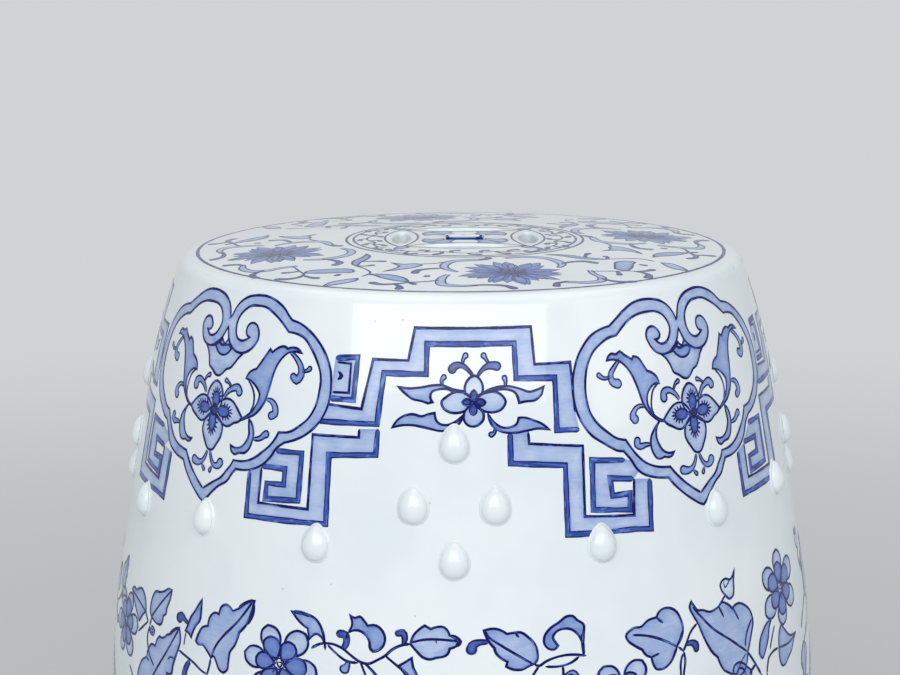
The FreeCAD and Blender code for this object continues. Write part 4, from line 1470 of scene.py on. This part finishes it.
def draw_coin(art, coin, shift=0.0):
    """Paint round a pierced coin: its slots' outlines, its patches, its scroll and its rings."""
    square, length, width, *distances = coin
    size = sum(distances) / 2 / COIN_REACH
    bow = (length ** 2 + width ** 2) / (4 * width)
    reach = bow + SLOT_GAP
    tip = math.sqrt(reach ** 2 - (bow - width / 2) ** 2)
    x = np.linspace(-tip, tip, SLOT_POINTS)[:-1]
    y = np.sqrt(reach ** 2 - x ** 2) - (bow - width / 2)
    lens = np.concatenate([np.column_stack([x, y]), np.column_stack([-x, -y])])
    for quarter, (c, s) in enumerate(((1, 0), (0, 1), (-1, 0), (0, -1))):
        for text in (COIN_PATCH, COIN_SCROLL):
            art.draw(text, to=(shift, 0), turn=90.0 * quarter, size=size)
        x, y = (lens - [0, distances[quarter % 2]]).T
        slot = np.column_stack([c * x - s * y + shift, s * x + c * y])
        art.line(slot, LINES["line"], closed=True)
    for radius in COIN_RINGS:
        art.line(circle(radius * size, (shift, 0)), LINES["rule"], closed=True)


def square_walls(coin, top):
    """Cobalt on the four walls of a coin's square: x runs round them, y goes down into them from the top."""
    straight = coin[0] - 2 * SQUARE_CORNER
    side = straight + SQUARE_CORNER * math.pi / 2
    art = Artwork()
    for quarter in range(4):
        first = quarter * side
        last = first + side
        corners = [[first, top], [last, top], [last, SQUARE_DEPTH], [first, SQUARE_DEPTH]]
        art.wash([dense(np.array(corners), True)], TONES["dark"])
    return art


def in_square(coin, origin, right):
    """Surface of the walls of a square hole that opens along right x up, with its middle at the origin."""
    origin, right = np.array(origin), np.array(right, float)
    up = np.array([0, 1.0, 0]) if abs(right[0]) else np.array([0, 0, 1.0])
    half, corner = coin[0] / 2, SQUARE_CORNER
    straight = coin[0] - 2 * corner
    side = straight + corner * math.pi / 2

    def surface(wall, points, lift, turn_deg, way):
        """Lays points on the walls, with the rounding of their edge. The drum and the turn play no part."""
        quarter = np.clip(points[:, 0] // side, 0, 3)
        run = points[:, 0] - quarter * side
        bend = np.clip((run - straight) / corner, 0, None)
        p = half - corner * (1 - np.cos(bend))
        q = np.minimum(run, straight) - straight / 2 + corner * np.sin(bend)
        turn = quarter * math.pi / 2
        c, s = np.cos(turn), np.sin(turn)
        normal_p, normal_q = np.cos(bend), np.sin(bend)
        away = np.outer(c * normal_p - s * normal_q, right) + np.outer(s * normal_p + c * normal_q, up)
        base = np.outer(c * p - s * q, right) + np.outer(s * p + c * q, up)
        face = np.cross(right, up)
        lean = np.clip(1 - points[:, 1:2] / EDGE_ROUND, 0, 1)
        upright = np.sqrt(1 - lean ** 2)
        base = base + away * EDGE_ROUND * (1 - upright) - np.outer(points[:, 1], face)
        normal = face * lean - away * upright
        return origin + (base + normal * lift[:, None]) * MM, normal
    return surface


# Top, in plan from the stool's axis: the front quarter of four, which were set out by eye, and the radius and
# width in mm of the ring round them
QUARTER_TURNS = (0.0, 87.6, 180.0, 277.4)
TOP_RING = 128.4
TOP_RING_LINE = 1.7

# Middle of the bloom in the front quarter, its petals and the dark ones in its heart
BLOOM = (22.5, -91.5)
PETALS = 26
HEART_PETALS = 9
BLOOM_PETAL = "spike: 4,0* 9,-2 15,-2.8 22,0.4* 15.5,2.6 9,2.1"
BLOOM_HEART = "dark 1: 0,0* 4,-1.2 8.5,0* 4,1.2"
BLOOM_EYE = "night 2: -2.4,0 0,-2.2 2.5,0.3 0.2,2.5"

# Unevenness of the petals as waves of a size and a pace: degrees by which they stray and shares of their
# length, and degrees by which the heart is turned
STRAY = (5, 2.3)
LENGTHS = ((0.10, 1.9), (0.06, 5.1))
HEART_LENGTHS = (0.12, 3)
HEART_TURN = 6

TOP_SCROLL = """
curllight: 12,-62 8,-64.5 2,-65.5 -4,-68 -7,-73 -8,-79 -6.5,-85 -2.5,-90 / 2.4 3 3.6 4 4 3.6 3 1.6
curldark 1: 8,-64.5 11,-63.5 12.5,-60.5 / 1 2 3
curllight: -6,-96 -8.5,-102 -9.5,-109 -8.5,-115 -3,-117.5 6,-117 / 2 3.4 4.4 4.4 3.2 1.6
curldark 1: 4,-117 12,-116 19,-117.5 22.5,-121.5 / 0.9 1.4 2.2 3.2
curllight: 20,-60.5 26,-57 33,-56.5 40,-59.5 44.5,-66 46,-73 44.5,-79 / 2 3.2 3.8 4 4 3.4 2
curldark 1: 46,-71 51,-66 57,-64 61.5,-66.5 / 0.9 2 3 3.2
curllight: 58,-83.5 59.5,-91 62.5,-97.5 61.5,-104.5 55,-108.3 46,-108 / 2 2.8 3.6 3.8 3.6 2
curldark 1: 47,-108 42.5,-110.5 41.5,-116 / 0.9 2 3
curldark 1: 62,-99 66.5,-103.5 71,-105 76,-103.5 / 0.9 1.8 2.6 2.8
mid: 70,-78* 70.5,-70 72,-62 75,-59.5* 80,-60 79,-67 78,-74 75.5,-81* 73,-81
line: 58,-86 64,-84.5 70,-83.5 76,-82 81,-82
curldark: 78,-82 83,-85 84.5,-89.5 83.5,-93.5 / 0.9 1.6 2.6 3.6
curldark: 80,-82 84,-80 87,-77 / 0.9 1.6 3
curldark: 70,-83.5 71,-87 71,-90.5 / 0.9 1.4 2.4
curldark: 82,-66 84.5,-67.5 / 1.4 2.2
light: 93,-59* 97,-60 101,-66 103.5,-75* 98,-72 94.5,-66
mid: 40,-50* 46,-49 52,-50.5 58,-54 68,-57* 61,-58.6 54,-57 49,-53.5
curldark: 58,-54 58.5,-48 60,-44 / 0.8 1 2.4
curldark: 67,-57 68.5,-53 67.5,-50 / 0.8 1 2.2
line: 68,-57 76,-53.5 84,-52.5 90,-57
leaf: -32,-69* -27,-72.5 -20,-72.5 -18,-76* -21,-80 -25,-83 -35,-87* -30.5,-82 -28.5,-77 -30,-73
line: -19,-73 -13,-72.5 -7.5,-69
curldark: -8,-83 -15,-84 -20,-87 -21,-91.5 / 0.9 2 2.8 3.2
mid: -42,-92.5* -35,-93 -29,-97 -25.5,-102 -23.5,-110* -30,-106 -36,-100 -39,-95
bold: -23.5,-110 -17,-109.5 -10,-107
curldark: -24,-110.5 -30,-112.5 -35,-112.8 -39.5,-109.5 / 0.9 1.6 2 3
curldark: -30,-113 -27.5,-117 -27.5,-121 / 0.9 1.6 3.4
curldark: -24,-110 -21,-113.5 / 0.8 2
curldark: -15,-97 -15.7,-99 / 1.6 2.4
"""


def uneven(k, *waves):
    """Unevenness of handwork at place k of a row, from waves of a size and a pace."""
    return sum(size * math.sin(pace * k) for size, pace in waves)


def draw_bloom(art):
    """A chrysanthemum: pointed petals of uneven length round a dark heart."""
    for k in range(PETALS):
        turn = 360.0 * k / PETALS + uneven(k, STRAY)
        art.draw(BLOOM_PETAL, to=BLOOM, turn=turn, size=1 + uneven(k, *LENGTHS))
    for k in range(HEART_PETALS):
        turn = 360.0 * k / HEART_PETALS + HEART_TURN
        art.draw(BLOOM_HEART, to=BLOOM, turn=turn, size=1 + uneven(k, HEART_LENGTHS))
    art.draw(BLOOM_EYE, to=BLOOM)


class STOOL_OT_paint_top(Operator):
    """Paint the scrolling flowers, the coin and the ring on the domed top"""
    bl_idname = "stool.paint_top"
    bl_label = "Paint the top"

    def execute(self, context):
        scroll = Artwork(TOP_SCROLL)
        draw_bloom(scroll)
        rings = Artwork()
        draw_coin(rings, TOP_COIN, TOP_COIN_SHIFT)
        rings.line(circle(TOP_RING), TOP_RING_LINE, closed=True)
        layers = [(scroll, turn, UPRIGHT) for turn in QUARTER_TURNS]
        lay("painted_top", [(rings, 0.0, UPRIGHT), *layers], on_dome)
        hole = in_square(TOP_COIN, (TOP_COIN_SHIFT * MM, 0, SEAT_TOP), (1, 0, 0))
        art = square_walls(TOP_COIN, TOP_PAINT_START)
        lay("painted_square_of_top_coin", [(art, 0.0, UPRIGHT)], hole)
        return {"FINISHED"}


class STOOL_OT_paint_side_coins(Operator):
    """Paint the rings and scrolls round the pierced coins in both sides"""
    bl_idname = "stool.paint_side_coins"
    bl_label = "Paint the side coins"

    def execute(self, context):
        coin = Artwork()
        draw_coin(coin, SIDE_COIN)
        lay("painted_side_coins", [(coin, turn, UPRIGHT) for turn in SIDE_TURNS], on_side)
        art = square_walls(SIDE_COIN, SIDE_PAINT_START)
        for name, sign in (("right", 1), ("left", -1)):
            hole = in_square(SIDE_COIN, (sign * BELLY, 0, WAIST), (0, sign, 0))
            lay("painted_square_of_" + name + "_coin", [(art, 0.0, UPRIGHT)], hole)
        return {"FINISHED"}


# Camera of the photo, solved from the ellipse of the top: place in m, lens in mm, pitch and roll in degrees
CAMERA_PLACE = (-0.0054, -1.048, 0.616)
CAMERA_LENS = 86.214
CAMERA_PITCH = -11.01
CAMERA_ROLL = -0.226

# Soft lamps that look at the stool's middle: place and size in m, power in W
LAMPS = (
    ("window_front", (-0.2, -2.3, 1.75), (3.6, 1.5), 48.0),
    ("window_right", (2.1, -1.2, 1.4), (1.2, 1.6), 4.5),
    ("ceiling_bounce", (0.0, 0.3, 2.6), (2.6, 2.2), 15.0),
)
ROOM_LIGHT = 0.40

# Floor: its radius and the distances from the stool's axis over which it fades into the backdrop, in m, the
# corners of its edge and its roughness
FLOOR_RADIUS = 14.0
FADE_START, FADE_END = 0.5, 2.2
FLOOR_CORNERS = 64
FLOOR_ROUGHNESS = 0.9


def seen_rays(tree):
    """One for rays that see the stage, straight or by reflection, and none for rays that light the stool."""
    path = add_node(tree, "ShaderNodeLightPath")
    seen = add_node(tree, "ShaderNodeMath", operation="ADD",
                    links={0: path.outputs["Is Camera Ray"], 1: path.outputs["Is Glossy Ray"]})
    return add_node(tree, "ShaderNodeMath", operation="ADD", use_clamp=True,
                    links={0: seen.outputs[0], 1: path.outputs["Is Transmission Ray"]}).outputs[0]


def studio_floor():
    """Matt pale floor that keeps the stool's shadow and fades into the backdrop a few steps away."""
    colours = settings().colours
    material, tree, shader = new_material("matt_studio_floor")
    shader.inputs["Base Color"].default_value = linear(colours.floor)
    shader.inputs["Roughness"].default_value = FLOOR_ROUGHNESS
    far = add_node(tree, "ShaderNodeEmission", {"Color": linear(colours.backdrop)})
    place = add_node(tree, "ShaderNodeNewGeometry").outputs["Position"]
    away = add_node(tree, "ShaderNodeVectorMath", links={0: place}, operation="LENGTH").outputs["Value"]
    fade = add_node(tree, "ShaderNodeMapRange", {"From Min": FADE_START, "From Max": FADE_END},
                    {"Value": away}, interpolation_type="SMOOTHSTEP")
    share = add_node(tree, "ShaderNodeMath", operation="MULTIPLY",
                     links={0: fade.outputs["Result"], 1: seen_rays(tree)})
    mix = add_node(tree, "ShaderNodeMixShader",
                   links={0: share.outputs[0], 1: shader.outputs["BSDF"], 2: far.outputs["Emission"]})
    tree.links.new(mix.outputs["Shader"], tree.nodes["Material Output"].inputs["Surface"])
    return material


def pale_room():
    """World that lights the stool like a pale room and looks like the backdrop."""
    colours = settings().colours
    world = bpy.data.worlds.new("pale_room")
    world.use_nodes = True
    tree = world.node_tree
    tree.nodes.clear()
    light = add_node(tree, "ShaderNodeBackground", {"Color": linear(colours.sky), "Strength": ROOM_LIGHT})
    look = add_node(tree, "ShaderNodeBackground", {"Color": linear(colours.backdrop)})
    mix = add_node(tree, "ShaderNodeMixShader",
                   links={0: seen_rays(tree), 1: light.outputs["Background"], 2: look.outputs["Background"]})
    add_node(tree, "ShaderNodeOutputWorld", links={"Surface": mix.outputs["Shader"]})
    return world


class STOOL_OT_set_stage(Operator):
    """Set the pale floor, the backdrop, the soft lamps and the camera"""
    bl_idname = "stool.set_stage"
    bl_label = "Set the stage"

    def execute(self, context):
        scene = context.scene
        turns = np.arange(FLOOR_CORNERS) * TURN / FLOOR_CORNERS
        edge = [(FLOOR_RADIUS * math.cos(t), FLOOR_RADIUS * math.sin(t), 0.0) for t in turns]
        mesh = bpy.data.meshes.new("studio_floor")
        mesh.from_pydata(edge, [], [tuple(range(FLOOR_CORNERS))])
        mesh.materials.append(studio_floor())
        floor = bpy.data.objects.new("studio_floor", mesh)
        scene.collection.objects.link(floor)
        target = Vector((0, 0, WAIST))
        for name, place, size, power in LAMPS:
            data = bpy.data.lights.new(name, "AREA")
            data.shape = "RECTANGLE"
            data.size, data.size_y = size
            data.energy = power
            lamp = bpy.data.objects.new(name, data)
            lamp.location = place
            lamp.rotation_euler = (target - Vector(place)).to_track_quat("-Z", "Y").to_euler()
            scene.collection.objects.link(lamp)
        scene.world = pale_room()
        scene.view_settings.view_transform = "Standard"
        data = bpy.data.cameras.new("photo_camera")
        data.lens = CAMERA_LENS
        camera = bpy.data.objects.new("photo_camera", data)
        camera.location = CAMERA_PLACE
        camera.rotation_mode = "QUATERNION"
        pitch = Euler((math.radians(90 + CAMERA_PITCH), 0, 0)).to_quaternion()
        camera.rotation_quaternion = pitch @ Euler((0, 0, math.radians(CAMERA_ROLL))).to_quaternion()
        scene.collection.objects.link(camera)
        scene.camera = camera
        return {"FINISHED"}


class STOOL_PT_panel(Panel):
    """Lists the steps that dress the stool"""
    bl_label = "Garden stool"
    bl_space_type = "VIEW_3D"
    bl_region_type = "UI"
    bl_category = "Garden stool"

    def draw(self, context):
        for step in STEPS:
            self.layout.operator(step.bl_idname)
        for group in ("drum", "drops", "colours"):
            values = getattr(context.scene.garden_stool, group)
            box = self.layout.box()
            for key in values.__annotations__:
                box.prop(values, key)


STEPS = (STOOL_OT_glaze_body, STOOL_OT_apply_drops, STOOL_OT_paint_ruyi, STOOL_OT_paint_fret,
         STOOL_OT_paint_vine, STOOL_OT_paint_side_coins, STOOL_OT_paint_top, STOOL_OT_set_stage)
CLASSES = (DrumSizes, DropSizes, Colours, StoolSettings, *STEPS, STOOL_PT_panel)


def register():
    for cls in CLASSES:
        bpy.utils.register_class(cls)
    bpy.types.Scene.garden_stool = PointerProperty(type=StoolSettings)


def unregister():
    del bpy.types.Scene.garden_stool
    for cls in reversed(CLASSES):
        bpy.utils.unregister_class(cls)


def main():
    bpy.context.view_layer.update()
    register()
    bpy.ops.stool.glaze_body()
    bpy.ops.stool.apply_drops()
    bpy.ops.stool.paint_ruyi()
    bpy.ops.stool.paint_fret()
    bpy.ops.stool.paint_vine()
    bpy.ops.stool.paint_side_coins()
    bpy.ops.stool.paint_top()
    bpy.ops.stool.set_stage()


if __name__ == "__main__":
    main()
